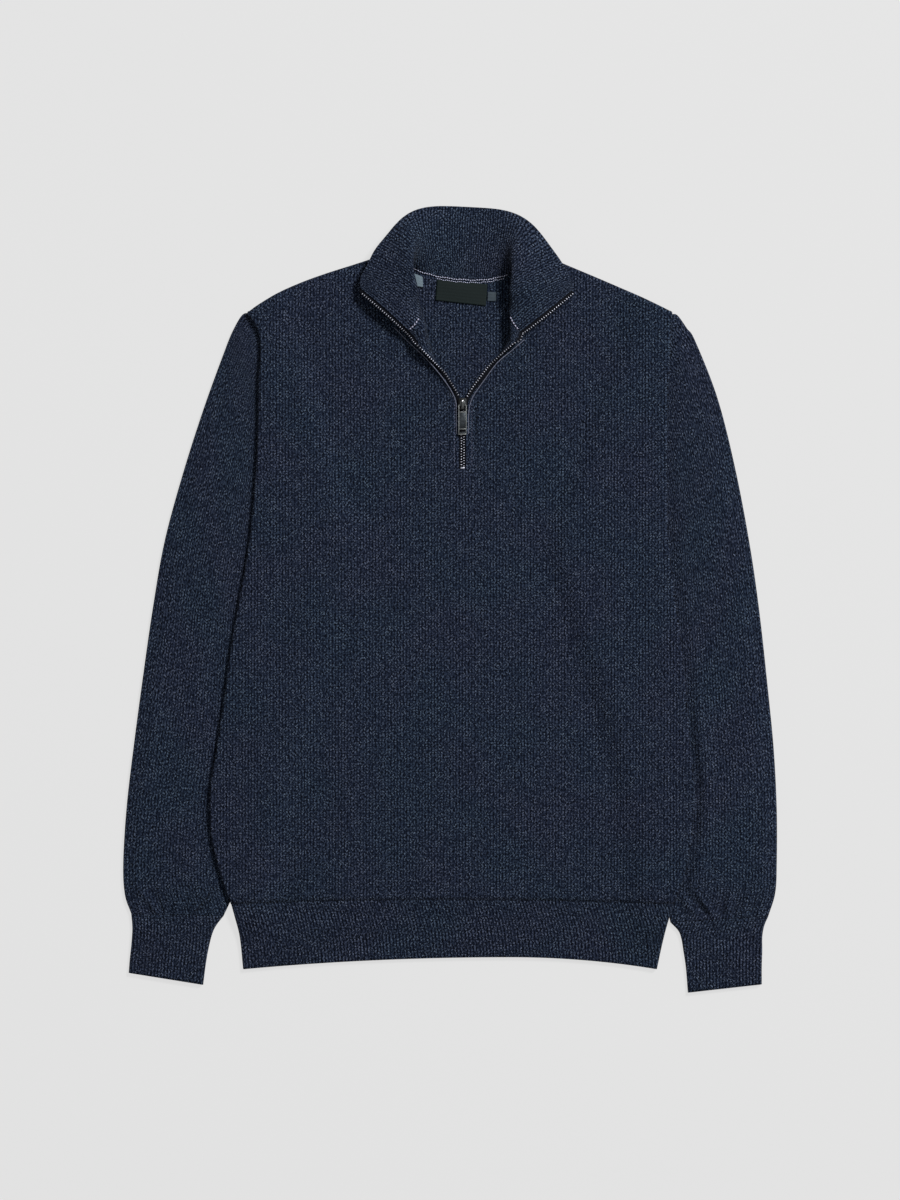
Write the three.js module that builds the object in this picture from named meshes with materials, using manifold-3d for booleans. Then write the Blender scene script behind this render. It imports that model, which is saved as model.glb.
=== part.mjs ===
// A quarter zip sweater lying flat on its back, its sleeves folded partly under the body,
// in millimetres, +Z up. X runs to the viewer's right and Y runs from the hem to the collar.
// Each cloth piece is a closed wall about rows of points on its middle surface.

import * as THREE from "three";
import { mergeVertices } from "three/addons/utils/BufferGeometryUtils.js";
import Module from "manifold-3d";

const wasm = await Module();
wasm.setup();

// Cloth: wall thicknesses, depths of the flattened tubes, seams and ribs
const PANEL_WALL = 1.6;
const RIB_WALL = 2.0;
const COLLAR_WALL = 2.6;
const LABEL_WALL = 1.0;
const SEAM_GAP = 0.3;
const BODY_DEPTH = 6.4;
const SLEEVE_DEPTH = 5.2;
const SLEEVE_PUFF = 2.4;
const PUFF_START = 6;
const PUFF_WIDTH = 30;
const PUFF_TO_CUFF = 40;
const RIB_PITCH = 3.3;
const RIB_RELIEF = 0.5;
const ROLL_RADIUS = (BODY_DEPTH - PANEL_WALL) / 2;
const SETTLE = 1.2;
const SETTLE_WIDTH = 60;

// Where the body lies over the sleeves: its height and how gently it climbs there
const SLEEVE_CLEARANCE = SLEEVE_DEPTH + 0.6;
const CLIMB_START = 22;
const CLIMB_WIDTH = 30;
const CLIMB_FOOT = { leftY: -350, leftLength: 45, rightY: -357, rightLength: 36 };

// Hem: the seam above the rib and the rib's lower edge, both curved
const HEM_SEAM_Y = -299;
const HEM_SEAM_DROP = 4;
const HEM_EDGE_Y = -356;
const HEM_EDGE_DROP = 12;
const HEM_HIGH_X = 60;
const HEM_HALF = 207;
const BODY_HALF = 220;

// Zip: centre line, lower end, slider, chain and tape
const ZIP_X = 12.5;
const ZIP_BOTTOM_Y = 132;
const CHAIN_Z = 5.3;
const TOOTH_HALF = 1.25;
const TOOTH_DEPTH = 2.0;
const TOOTH_GAP = 0.2;
const TAPE_WALL = 0.8;
const TAPE_REACH = 3.5;
const SLIDER = { topY: 202, length: 12, half: 4.2, plate: 0.95, channel: 3.4, round: 1.6 };
const SLIDER_LIP = { wide: 0.7, high: 1.1, length: 5, fromEnd: 1.5 };
const WEDGE = { length: 4.2, half: 1.3 };
const BRIDGE = { topY: 201, length: 10.4, half: 1.3, wall: 1.1, room: 2.7, round: 1.2, root: 0.3 };
const PULL = { half: 4.15, length: 33, wall: 1.5, pinY: 198.2, tilt: 2 * Math.PI / 180 };
const PULL_WINDOW = { margin: 1.5, endY: -9, round: 0.4 };
const PULL_SLOT = { margin: 1.3, top: 4.4, bottom: 2.8, round: 0.3 };

// Colours and finish
const NAVY = { color: 0x23283a, roughness: 0.95, metalness: 0 };
const ZIP_CLOTH = { color: 0x101218, roughness: 0.8, metalness: 0 };
const METAL = { color: 0x8d8f92, roughness: 0.35, metalness: 1 };
const LABEL_GREEN = { color: 0x3a423f, roughness: 0.6, metalness: 0 };
const LABEL_GREY = { color: 0x5b6064, roughness: 0.6, metalness: 0 };
const LABEL_WHITE = { color: 0xc9ced6, roughness: 0.7, metalness: 0 };

// A table's rows as objects with the named columns
function table(columns, rows) {
  const names = columns.split(" ");
  return rows.map((row) => Object.fromEntries(names.map((name, k) => [name, row[k]])));
}

// Side edges of the body by height
const BODY_SIDES = table("y left right", [
  [-303, -219, 225],
  [-281, -228, 234],
  [-235, -239, 242],
  [-190, -240, 245],
  [-145, -233, 240],
  [-90, -225, 236.5],
  [-25, -216, 229],
  [20, -207, 223],
  [65, -200, 218.5],
  [109, -196, 217],
  [154, -193, 217],
  [220, -191.5, 219],
  [265, -191, 221],
  [289, -204, 222.5],
]);

// Inner edges of the sleeves, hidden under the body, by height
const HIDDEN_EDGES = table("y left right", [
  [-325, -220, 221],
  [-250, -210, 218],
  [-184, -196, 209],
  [-98, -174, 187],
  [-24, -150, 163.5],
  [55, -128, 142],
  [110, -148, 162],
  [180, -168, 184],
  [240, -186, 206],
  [289, -198, 218],
]);

// Rows of the front's halves from the hem up. side is the height at the side seam. Then come
// the column below the neck point, the start of the lapel, its bend and its top as the
// handles of a cubic curve, and the edge at the zip. Lifts are heights above the flat front.
const FRONT_COLUMNS =
  "side neckX neckY startX startY bendX topX topY topLift edgeX edgeY edgeLift";
const FRONT_LEFT = table(FRONT_COLUMNS, [
  [-275, -84, -275, -32, -275, -18, -5, -275, 0, 9.2, -275, 0],
  [-235, -84, -235, -32, -235, -18, -5, -235, 0, 9.2, -235, 0],
  [-190, -82, -190, -30, -190, -17, -4, -190, 0, 9.2, -190, 0],
  [-145, -80, -145, -28, -145, -16, -4, -145, 0, 9.2, -145, 0],
  [-98, -77, -98, -26, -98, -14, -3, -98, 0, 9.2, -98, 0],
  [-50, -74, -50, -24, -50, -13, -2, -50, 0, 9.2, -50, 0],
  [0, -70, 0, -21, 0, -11, -1, 0, 0, 9.2, 0, 0],
  [48, -66, 48, -17, 48, -8, 0, 48, 0, 9.2, 48, 0],
  [92, -62, 93, -12, 94, -5, 2, 94, 0, 9.2, 94, 0],
  [126, -59, 130, -6, 132, -1, 4, 132, 0, 9.2, 132, 0],
  [146, -58, 160, -4, 166, 0.5, 4.5, 166, 0, 9.2, 166, 0],
  [160, -57, 184, -4, 188, 0, 4, 188, 0.3, 7.6, 188, 0.5],
  [174, -57, 204, -6, 204, 0, 2, 200, 0.4, 6.4, 198.5, 0.6],
  [190, -57, 225, -12, 222, -6, -2.5, 210, 0.4, 2.2, 208, 0.9],
  [208, -57, 246, -21, 238, -14, -10.5, 222, 1.6, -6.8, 220.8, 4.4],
  [222, -57, 262, -27, 250, -15, -15, 232, 3.2, -14.2, 231, 6.8],
  [236, -57, 279, -32, 261, -16.5, -18.5, 242, 5.5, -21.5, 239.8, 9],
  [254, -57, 303, -35, 275, -19, -20.5, 256.5, 15, -29.5, 251.5, 12],
  [270, -57.5, 325, -37, 287, -22, -22, 267, 25, -34.5, 261, 12.5],
  [286, -58, 346, -39, 297, -25, -27.5, 278, 26, -41.5, 269, 13],
]);
const FRONT_RIGHT = table(FRONT_COLUMNS, [
  [-275, 108, -275, 56, -275, 42, 29, -275, 0, 15.8, -275, 0],
  [-235, 108, -235, 56, -235, 42, 29, -235, 0, 15.8, -235, 0],
  [-190, 106, -190, 54, -190, 41, 28, -190, 0, 15.8, -190, 0],
  [-145, 104, -145, 52, -145, 40, 28, -145, 0, 15.8, -145, 0],
  [-98, 101, -98, 50, -98, 38, 27, -98, 0, 15.8, -98, 0],
  [-50, 98, -50, 48, -50, 37, 26, -50, 0, 15.8, -50, 0],
  [0, 94, 0, 45, 0, 35, 25, 0, 0, 15.8, 0, 0],
  [48, 90, 48, 41, 48, 32, 24, 48, 0, 15.8, 48, 0],
  [92, 86, 93, 36, 94, 29, 22, 94, 0, 15.8, 94, 0],
  [126, 83, 130, 30, 132, 25, 20, 132, 0, 15.8, 132, 0],
  [146, 82, 160, 28, 166, 23.5, 19.5, 166, 0, 15.8, 166, 0],
  [160, 82, 184, 28, 188, 24, 20, 188, 0.3, 17.4, 188, 0.5],
  [174, 82, 204, 31, 203, 25, 22, 200, 0.4, 18.6, 198.5, 0.6],
  [190, 82, 225, 38, 220, 32, 29, 210, 0.4, 24.8, 208, 0.9],
  [208, 82, 246, 48, 235, 41, 39, 224, 1.5, 35.8, 222, 3.2],
  [222, 82, 262, 55, 246, 48, 46.5, 235, 3.4, 44, 232.5, 5],
  [236, 82, 279, 61, 257, 54, 53.5, 246, 5.5, 52.5, 243, 7.6],
  [254, 82.5, 303, 67, 271, 58, 57, 256, 12, 61.5, 252.5, 10.5],
  [270, 83, 325, 69.5, 284, 57, 57.5, 267, 22, 67.5, 261.5, 11.5],
  [286, 84, 346, 68, 296, 54, 57.5, 280, 25, 70, 268, 12],
]);

// How far each row of the back dips from the neck points to the back neck seam
const BACK_DIP_BY_ROW_FROM_TOP = [1, 0.87, 0.55, 0.28, 0.1];
const BACK_NECK = table("x drop", [
  [-58, 0],
  [-44, 13.5],
  [-27, 20.5],
  [-8, 24],
  [13, 26],
  [34, 27.7],
  [54, 25],
  [70, 17],
  [84, 0],
]);

// Shoulder tips and neck points, and how far each shoulder line bows up
const SHOULDERS = { leftX: -203, neckLeftX: -58, neckRightX: 84, rightX: 222, tipY: 287, neckY: 349 };
const SHOULDER_BULGE = { left: 47, right: 10, startY: 200, length: 86 };

// Sleeves from the armhole to the cuff seam: their outer and inner edges
const SLEEVE_COLUMNS = "outerX outerY innerX innerY";
const SLEEVE_LEFT = table(SLEEVE_COLUMNS, [
  [-199, 287, -154, 180],
  [-225, 249, -131, 36],
  [-247, 190, -139, 8],
  [-268, 124, -150, -24],
  [-286, 57, -162, -60],
  [-298, -12, -174, -98],
  [-308, -82, -186, -140],
  [-316.5, -146, -196, -184],
  [-323.5, -206, -204, -226],
  [-327, -262, -211, -266],
  [-325.5, -294, -216, -292],
  [-319, -314, -226.5, -316],
]);
const SLEEVE_RIGHT = table(SLEEVE_COLUMNS, [
  [221, 286, 142, 55],
  [245, 259, 145, 36],
  [268, 201, 153, 8],
  [286, 129, 163.5, -24],
  [300.5, 52, 175, -60],
  [310, -15, 187, -98],
  [318, -88, 199, -140],
  [324, -150, 209, -184],
  [327, -210, 216, -226],
  [327, -264, 219, -266],
  [325.5, -293, 219.5, -296],
  [318.5, -316.5, 223.5, -323.5],
]);

// Cuffs from the seam to the wrist: their outer and inner edges
const CUFF_LEFT = table(SLEEVE_COLUMNS, [
  [-319, -314, -226.5, -316],
  [-318, -325, -233.5, -325],
  [-318, -333, -237.5, -333],
  [-319, -346, -241, -346],
  [-320.5, -360, -244, -362],
  [-321.5, -373, -247, -385],
]);
const CUFF_RIGHT = table(SLEEVE_COLUMNS, [
  [318.5, -316.5, 223.5, -323.5],
  [314.5, -326, 227.5, -331],
  [312.5, -337, 230.5, -339],
  [312.5, -351, 232.5, -351],
  [312, -367, 235.5, -368],
  [312, -384, 237, -392],
]);

// Hem rib from the seam to the lower edge: its part of the way down and its side edges
const HEM_SIDES = table("part left right", [
  [0, -219, 225],
  [0.22, -215, 221],
  [0.5, -210.5, 215],
  [1, -HEM_HALF, HEM_HALF],
]);

// Soft folds of the front: ends, half width and height
const FRONT_FOLDS = table("x1 y1 x2 y2 width height", [
  [-104, 300, -141, 201, 16, 1.2],
  [140, 296, 152, 240, 14, 0.9],
  [134, -76, 165, -191, 14, -1.1],
  [96, -165, 104, -285, 14, 0.9],
  [-172, 20, -166, -95, 24, -1.0],
]);

// Puckers where each sleeve is gathered into its cuff: part of the width, length, height
const PUCKER_HALF = 0.06;
const PUCKER_START = 3;
const CUFF_PUCKERS = table("part length height", [
  [0.14, 26, 1.1],
  [0.33, 38, 1.5],
  [0.55, 22, 1.0],
  [0.76, 48, 1.7],
]);

// Collar sections along the neck seam, from the left zip edge round the back to the right
// one. part is the place along the seam. Each section runs from the seam over a middle
// point on the roll to the top edge.
const COLLAR = table("part middleX middleY middleZ edgeX edgeY edgeZ", [
  [0, -65, 290.5, 21, -88.5, 310.5, 18],
  [0.05, -60, 301, 22, -90, 319, 17.5],
  [0.085, -55, 312, 23, -87, 325, 17],
  [0.115, -42, 312, 24, -83, 331.5, 16.5],
  [0.15, -35, 313, 25, -79, 338, 16.5],
  [0.19, -37.5, 323, 26.5, -73, 347, 16.5],
  [0.24, -38.5, 335, 27, -66, 356, 16],
  [0.29, -37, 350, 27, -58, 365, 15.5],
  [0.335, -35.5, 360, 23, -49, 375, 13.5],
  [0.375, -32, 363, 17, -35, 386, 10.5],
  [0.415, -22, 361, 9.5, -20, 392, 6.5],
  [0.46, -3, 357, 6, -2, 393, 4.5],
  [0.505, 13, 355.5, 5, 15, 392, 4],
  [0.56, 35, 355, 5.5, 38, 391, 4.5],
  [0.605, 51, 356, 8.5, 53, 389.5, 6.5],
  [0.645, 61, 357.5, 16, 68.5, 384.5, 10.5],
  [0.685, 61.5, 348.5, 23, 81, 376, 13.5],
  [0.735, 62.5, 338, 27, 91, 364, 15],
  [0.785, 63, 328, 27, 100, 351, 15.5],
  [0.835, 63, 317, 26, 107, 342, 15.5],
  [0.87, 64, 308, 25.5, 113, 333, 16],
  [0.905, 74, 305, 24, 117, 325, 16.5],
  [0.95, 88, 302, 21, 121, 317, 16.5],
  [1, 95, 287, 20, 121.5, 309, 17],
]);

// Blank labels on the inside of the back: corners from the upper left to the right, and the
// heights of the upper and lower edges
const LABELS = {
  main: { corners: [[-13, 320.5], [37.6, 316], [36, 294.3], [-14.6, 300]], highZ: 2.5, lowZ: 3 },
  size: { corners: [[38, 308.4], [46.2, 308], [46, 299], [37.6, 299.3]], highZ: 2.5, lowZ: 2.6 },
  care: { corners: [[-38.5, 328], [-27.5, 323.5], [-27, 313], [-39.5, 315]], highZ: 2.5, lowZ: 3 },
};

function smooth(value) {
  const t = THREE.MathUtils.clamp(value, 0, 1);
  return t * t * (3 - 2 * t);
}

// A column of a table at any value of its key column, as a smooth curve
function lookUp(rows, key, value, column) {
  const last = rows.length - 1;
  const v = THREE.MathUtils.clamp(value, rows[0][key], rows[last][key]);
  let k = 0;
  while (k < last - 1 && rows[k + 1][key] < v) {
    k += 1;
  }
  const slope = (a, b) => (rows[b][column] - rows[a][column]) / (rows[b][key] - rows[a][key]);
  const span = rows[k + 1][key] - rows[k][key];
  const startSlope = slope(Math.max(k - 1, 0), k + 1) * span;
  const endSlope = slope(k, Math.min(k + 2, last)) * span;
  const t = (v - rows[k][key]) / span;
  const t2 = t * t;
  const t3 = t2 * t;
  return (2 * t3 - 3 * t2 + 1) * rows[k][column] + (t3 - 2 * t2 + t) * startSlope
    + (3 * t2 - 2 * t3) * rows[k + 1][column] + (t3 - t2) * endSlope;
}

// A table's row at a part of the way through the table, all columns as smooth curves
function rowAt(rows, part) {
  const indexed = rows.map((row, k) => ({ ...row, index: k }));
  const index = part * (rows.length - 1);
  const names = Object.keys(rows[0]);
  return Object.fromEntries(names.map((name) => [name, lookUp(indexed, "index", index, name)]));
}

function hemSeamY(x) {
  return HEM_SEAM_Y - HEM_SEAM_DROP * (x / BODY_HALF) ** 2;
}

function hemEdgeY(x) {
  const half = x < HEM_HIGH_X ? HEM_HALF + HEM_HIGH_X : HEM_HALF - HEM_HIGH_X;
  return HEM_EDGE_Y - HEM_EDGE_DROP * ((x - HEM_HIGH_X) / half) ** 2;
}

// Height of the body's underside: it lies on the table and, at its sides, on the sleeves
function bodyBase(x, y) {
  const left = x < ZIP_X;
  const edge = lookUp(HIDDEN_EDGES, "y", y, left ? "left" : "right");
  const inward = left ? x - edge : edge - x;
  const over = 1 - smooth((inward - CLIMB_START) / CLIMB_WIDTH);
  const foot = left
    ? smooth((y - CLIMB_FOOT.leftY) / CLIMB_FOOT.leftLength)
    : smooth((y - CLIMB_FOOT.rightY) / CLIMB_FOOT.rightLength);
  return SLEEVE_CLEARANCE * over * foot;
}

// Place on the table of the shoulder line above a place of the body
function shoulderY(x) {
  const { leftX, neckLeftX, neckRightX, rightX, tipY, neckY } = SHOULDERS;
  const rise = x < neckLeftX
    ? (x - leftX) / (neckLeftX - leftX)
    : (rightX - x) / (rightX - neckRightX);
  return tipY + (neckY - tipY) * Math.min(rise, 1);
}

function foldHeight(folds, x, y) {
  let height = 0;
  for (const fold of folds) {
    const along = new THREE.Vector2(fold.x2 - fold.x1, fold.y2 - fold.y1);
    const from = new THREE.Vector2(x - fold.x1, y - fold.y1);
    const part = THREE.MathUtils.clamp(from.dot(along) / along.lengthSq(), 0, 1);
    const away = from.distanceTo(along.multiplyScalar(part)) / fold.width;
    height += fold.height * Math.exp(-away * away) * smooth(4 * part) * smooth(4 - 4 * part);
  }
  return height;
}

// Height of the front panel's middle surface where it lies flat
function frontMiddle(x, y) {
  const left = lookUp(BODY_SIDES, "y", y, "left");
  const right = lookUp(BODY_SIDES, "y", y, "right");
  const inward = Math.min(x - left, right - x, shoulderY(x) - y);
  const settle = SETTLE * smooth(inward / SETTLE_WIDTH);
  const depth = BODY_DEPTH - PANEL_WALL / 2 + SEAM_GAP / 2 - settle;
  return bodyBase(x, y) + depth + foldHeight(FRONT_FOLDS, x, y);
}

function backMiddle(x, y) {
  return bodyBase(x, y) + PANEL_WALL / 2;
}

// Normals of a grid of points, from the cells that are kept
function gridNormals(grid, keep) {
  const normals = grid.map((row) => row.map(() => new THREE.Vector3()));
  const across = new THREE.Vector3();
  const along = new THREE.Vector3();
  for (let j = 0; j < grid.length - 1; j += 1) {
    for (let i = 0; i < grid[0].length - 1; i += 1) {
      if (!keep(j, i)) continue;
      across.subVectors(grid[j + 1][i + 1], grid[j][i]);
      along.subVectors(grid[j + 1][i], grid[j][i + 1]);
      const normal = across.cross(along);
      for (const [dj, di] of [[0, 0], [0, 1], [1, 0], [1, 1]]) {
        normals[j + dj][i + di].add(normal);
      }
    }
  }
  normals.forEach((row) => row.forEach((normal) => normal.normalize()));
  return normals;
}

// A closed wall about a grid of middle points. keep says which cells of the grid exist.
// The rows run up and the points of a row run right, seen from the outer side.
function wallFromGrid(grid, wall, keep = () => true) {
  const normals = gridNormals(grid, keep);
  const width = grid[0].length;
  const count = grid.length * width;
  const positions = [];
  for (const side of [0.5, -0.5]) {
    grid.forEach((row, j) => row.forEach((point, i) => {
      const moved = point.clone().addScaledVector(normals[j][i], side * wall);
      positions.push(moved.x, moved.y, moved.z);
    }));
  }
  const kept = (j, i) => j >= 0 && i >= 0 && j < grid.length - 1 && i < width - 1 && keep(j, i);
  const faces = [];
  const quad = (a, b, c, d) => faces.push(a, b, c, a, c, d);
  const at = (j, i) => j * width + i;
  for (let j = 0; j < grid.length - 1; j += 1) {
    for (let i = 0; i < width - 1; i += 1) {
      if (!kept(j, i)) continue;
      const [a, b, c, d] = [at(j, i), at(j, i + 1), at(j + 1, i + 1), at(j + 1, i)];
      quad(a, b, c, d);
      quad(a + count, d + count, c + count, b + count);
      if (!kept(j - 1, i)) quad(a, a + count, b + count, b);
      if (!kept(j, i + 1)) quad(b, b + count, c + count, c);
      if (!kept(j + 1, i)) quad(c, c + count, d + count, d);
      if (!kept(j, i - 1)) quad(d, d + count, a + count, a);
    }
  }
  return geometryFrom(positions, faces);
}

// A geometry from corner numbers and faces, without the corners that no face uses
function geometryFrom(positions, faces) {
  const places = new Map();
  const used = [];
  const index = faces.map((corner) => {
    if (!places.has(corner)) {
      places.set(corner, places.size);
      used.push(...positions.slice(corner * 3, corner * 3 + 3));
    }
    return places.get(corner);
  });
  const geometry = new THREE.BufferGeometry();
  geometry.setAttribute("position", new THREE.Float32BufferAttribute(used, 3));
  geometry.setIndex(index);
  return geometry;
}

// Shares of the way from the side of the body to the column below the neck point
const SIDE_SHARES = [0, 0.07, 0.2, 0.36, 0.54, 0.72, 0.87, 1];
const NECK_SHARES = [1 / 3, 2 / 3, 1];
const LAPEL_STEPS = 7;

// Angles of the round side and shoulder edges, from the seam up to the flat panel
const ROLL_ANGLES = [78, 45].map(THREE.MathUtils.degToRad);

// Plan points from the side of the body to the column below the neck point
function sidePoints(row, left) {
  const sign = left ? 1 : -1;
  const edge = lookUp(BODY_SIDES, "y", row.side, left ? "left" : "right");
  const from = new THREE.Vector2(edge + sign * BODY_DEPTH / 2, row.side);
  const to = new THREE.Vector2(row.neckX, row.neckY);
  const risen = smooth((row.side - SHOULDER_BULGE.startY) / SHOULDER_BULGE.length);
  const bulge = (left ? SHOULDER_BULGE.left : SHOULDER_BULGE.right) * risen;
  return SIDE_SHARES.map((share) => {
    const point = from.clone().lerp(to, share);
    point.y += bulge * share * (1 - share) ** 2;
    return point;
  });
}

// Middle points of one half of a front row, from the side to the zip edge
function frontHalfRow(row, left) {
  const onFront = (x, y, lift = 0) => new THREE.Vector3(x, y, frontMiddle(x, y) + lift);
  const points = sidePoints(row, left).map((point) => onFront(point.x, point.y));
  const neck = new THREE.Vector2(row.neckX, row.neckY);
  const start = new THREE.Vector2(row.startX, row.startY);
  for (const share of NECK_SHARES) {
    const point = neck.clone().lerp(start, share);
    points.push(onFront(point.x, point.y));
  }
  const lapel = new THREE.CubicBezierCurve3(
    onFront(row.startX, row.startY),
    onFront(row.bendX, row.startY),
    onFront(row.topX, row.topY, row.topLift),
    onFront(row.edgeX, row.edgeY, row.edgeLift),
  );
  points.push(...lapel.getPoints(LAPEL_STEPS).slice(1));
  return points;
}

// The lowest row of a body panel, along the hem seam between the hem's sides, its points
// spread as those of the row above
function hemSeamRow(above, middle) {
  const left = HEM_SIDES[0].left + BODY_DEPTH / 2;
  const right = HEM_SIDES[0].right - BODY_DEPTH / 2;
  const width = above.at(-1).x - above[0].x;
  return above.map((point) => {
    const x = THREE.MathUtils.lerp(left, right, (point.x - above[0].x) / width);
    const y = hemSeamY(x) + SEAM_GAP / 2;
    return new THREE.Vector3(x, y, middle(x, y));
  });
}

// Puts the round edges on a flat panel: two columns at each side and, over the shoulder
// columns, two rows at the top. turn is -1 for the front, which curls down, 1 for the back.
function withRoundEdges(grid, turn) {
  const outward = (end, inside) => {
    const direction = new THREE.Vector3(end.x - inside.x, end.y - inside.y, 0);
    return direction.normalize();
  };
  const top = grid.length - 1;
  const rows = grid.map((row) => ({ row, up: 0 }));
  for (const angle of [...ROLL_ANGLES].reverse()) {
    rows.push({ row: grid[top], below: grid[top - 1], up: angle });
  }
  return rows.map(({ row, below, up }) => {
    const last = row.length - 1;
    const round = (i, side, angle) => {
      const point = row[i].clone();
      if (below) {
        point.addScaledVector(outward(row[i], below[i]), ROLL_RADIUS * Math.sin(up));
      }
      point.x += side * ROLL_RADIUS * Math.sin(angle);
      const level = Math.max(Math.cos(up) * Math.cos(angle), Math.cos(ROLL_ANGLES[0]));
      point.z += turn * ROLL_RADIUS * (1 - level);
      return point;
    };
    return [
      ...ROLL_ANGLES.map((angle) => round(0, -1, angle)),
      ...row.map((_, i) => round(i, 0, 0)),
      ...[...ROLL_ANGLES].reverse().map((angle) => round(last, 1, angle)),
    ];
  });
}

const HALF_COLUMNS = SIDE_SHARES.length + NECK_SHARES.length + LAPEL_STEPS;
const SHOULDER_COLUMNS = ROLL_ANGLES.length + SIDE_SHARES.length;

function frontGrid() {
  const rows = FRONT_LEFT.map((row, k) => [
    ...frontHalfRow(row, true),
    ...frontHalfRow(FRONT_RIGHT[k], false).reverse(),
  ]);
  rows.unshift(hemSeamRow(rows[0], frontMiddle));
  return withRoundEdges(rows, -1);
}

// The zip slit is open above ZIP_BOTTOM_Y, and only the shoulders have the round top rows
function frontCellKept(grid) {
  const centre = ROLL_ANGLES.length + HALF_COLUMNS - 1;
  const columns = grid[0].length - 1;
  const slitRow = FRONT_LEFT.findIndex((row) => row.edgeY === ZIP_BOTTOM_Y) + 1;
  const topRow = grid.length - 1 - ROLL_ANGLES.length;
  return (j, i) => {
    if (j >= topRow) return i < SHOULDER_COLUMNS - 1 || i >= columns - SHOULDER_COLUMNS + 1;
    return i !== centre || j < slitRow;
  };
}

function backGrid() {
  const last = FRONT_LEFT.length - 1;
  const rows = FRONT_LEFT.map((row, k) => {
    const other = FRONT_RIGHT[k];
    const dip = BACK_DIP_BY_ROW_FROM_TOP[last - k] ?? 0;
    const neck = BACK_NECK.slice(1, -1).map((place) => {
      const share = (place.x - BACK_NECK[0].x) / (BACK_NECK.at(-1).x - BACK_NECK[0].x);
      const x = THREE.MathUtils.lerp(row.neckX, other.neckX, share);
      const y = THREE.MathUtils.lerp(row.neckY, other.neckY, share) - dip * place.drop;
      return new THREE.Vector2(x, y);
    });
    return [...sidePoints(row, true), ...neck, ...sidePoints(other, false).reverse()]
      .map((point) => new THREE.Vector3(point.x, point.y, backMiddle(point.x, point.y)));
  });
  rows.unshift(hemSeamRow(rows[0], backMiddle));
  return withRoundEdges(rows, 1);
}

function backCellKept(grid) {
  const columns = grid[0].length - 1;
  const topRow = grid.length - 1 - ROLL_ANGLES.length;
  return (j, i) => j < topRow
    || i < SHOULDER_COLUMNS - 1 || i >= columns - SHOULDER_COLUMNS + 1;
}

// One closed loop round a flattened tube, inset from its outer face. low and high are the
// heights of the tube's outer faces by place, and bend moves its places along Y. clock runs
// 0 to 4 round the loop.
function flatLoop(shape) {
  const { outer, inner, depth, low, high, inset, bottom, side, top } = shape;
  const { relief = [], bend = (x, y) => y } = shape;
  const from = new THREE.Vector2(...outer);
  const to = new THREE.Vector2(...inner);
  const width = from.distanceTo(to);
  const loop = [];
  const place = (along, height, clock) => {
    const plan = from.clone().lerp(to, along / width);
    plan.y = bend(plan.x, plan.y);
    loop.push({ point: new THREE.Vector3(plan.x, plan.y, height(plan.x, plan.y)), clock });
  };
  const flat = (share) => depth / 2 + share * (width - depth);
  const corner = (share, sign) => {
    for (let k = 1; k <= side; k += 1) {
      const angle = sign * Math.PI * (k / (side + 1) - 0.5);
      const radius = depth / 2 - inset;
      const along = flat(share) + (share ? 1 : -1) * radius * Math.cos(angle);
      const lift = depth / 2 + radius * Math.sin(angle);
      place(along, (x, y) => low(x, y) + lift, (share ? 1 : 3) + k / (side + 1));
    }
  };
  bottom.forEach((share) => place(flat(share), (x, y) => low(x, y) + inset, share));
  corner(1, 1);
  top.forEach((share, k) => {
    const drop = inset + (relief.length ? relief[k % relief.length] : 0);
    place(flat(1 - share), (x, y) => high(x, y, 1 - share) - drop, 2 + share);
  });
  corner(0, -1);
  return loop;
}

// Triangles between two loops, joined in the order of their clocks
function rimFaces(outer, inner, flip) {
  const faces = [];
  const nextClock = (loop, k) => (k < loop.length - 1 ? loop[k + 1].clock : 4);
  let m = 0;
  let k = 0;
  while (m < outer.length || k < inner.length) {
    const o = outer[m % outer.length].id;
    const n = inner[k % inner.length].id;
    const outerNext = m < outer.length ? nextClock(outer, m) : 5;
    const innerNext = k < inner.length ? nextClock(inner, k) : 5;
    const takeOuter = outerNext <= innerNext;
    const next = takeOuter ? outer[(m + 1) % outer.length].id : inner[(k + 1) % inner.length].id;
    const face = [o, next, n];
    faces.push(...(flip ? face.reverse() : face));
    if (takeOuter) m += 1;
    else k += 1;
  }
  return faces;
}

// A wall between an outer and an inner flattened tube, open at both ends
function tubeWall(sections) {
  const positions = [];
  const faces = [];
  const number = (loop) => loop.map(({ point, clock }) => {
    positions.push(point.x, point.y, point.z);
    return { id: positions.length / 3 - 1, clock };
  });
  const loops = sections.map(({ outer, inner }) => ({ outer: number(outer), inner: number(inner) }));
  for (let k = 0; k < loops.length - 1; k += 1) {
    for (const [name, flip] of [["outer", false], ["inner", true]]) {
      const here = loops[k][name];
      const there = loops[k + 1][name];
      here.forEach((_, m) => {
        const n = (m + 1) % here.length;
        const quad = [here[m].id, here[n].id, there[n].id, there[m].id];
        if (flip) quad.reverse();
        faces.push(quad[0], quad[1], quad[2], quad[0], quad[2], quad[3]);
      });
    }
  }
  faces.push(...rimFaces(loops[0].outer, loops[0].inner, true));
  faces.push(...rimFaces(loops.at(-1).outer, loops.at(-1).inner, false));
  return facingOut(geometryFrom(positions, faces));
}

// Turns a closed geometry's faces outward
function facingOut(geometry) {
  const position = geometry.getAttribute("position");
  const index = geometry.getIndex();
  const [a, b, c] = [new THREE.Vector3(), new THREE.Vector3(), new THREE.Vector3()];
  let volume = 0;
  for (let k = 0; k < index.count; k += 3) {
    a.fromBufferAttribute(position, index.getX(k));
    b.fromBufferAttribute(position, index.getX(k + 1));
    c.fromBufferAttribute(position, index.getX(k + 2));
    volume += a.dot(b.cross(c));
  }
  if (volume < 0) {
    geometry.setIndex(Array.from(index.array).reverse());
  }
  return geometry;
}

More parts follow.
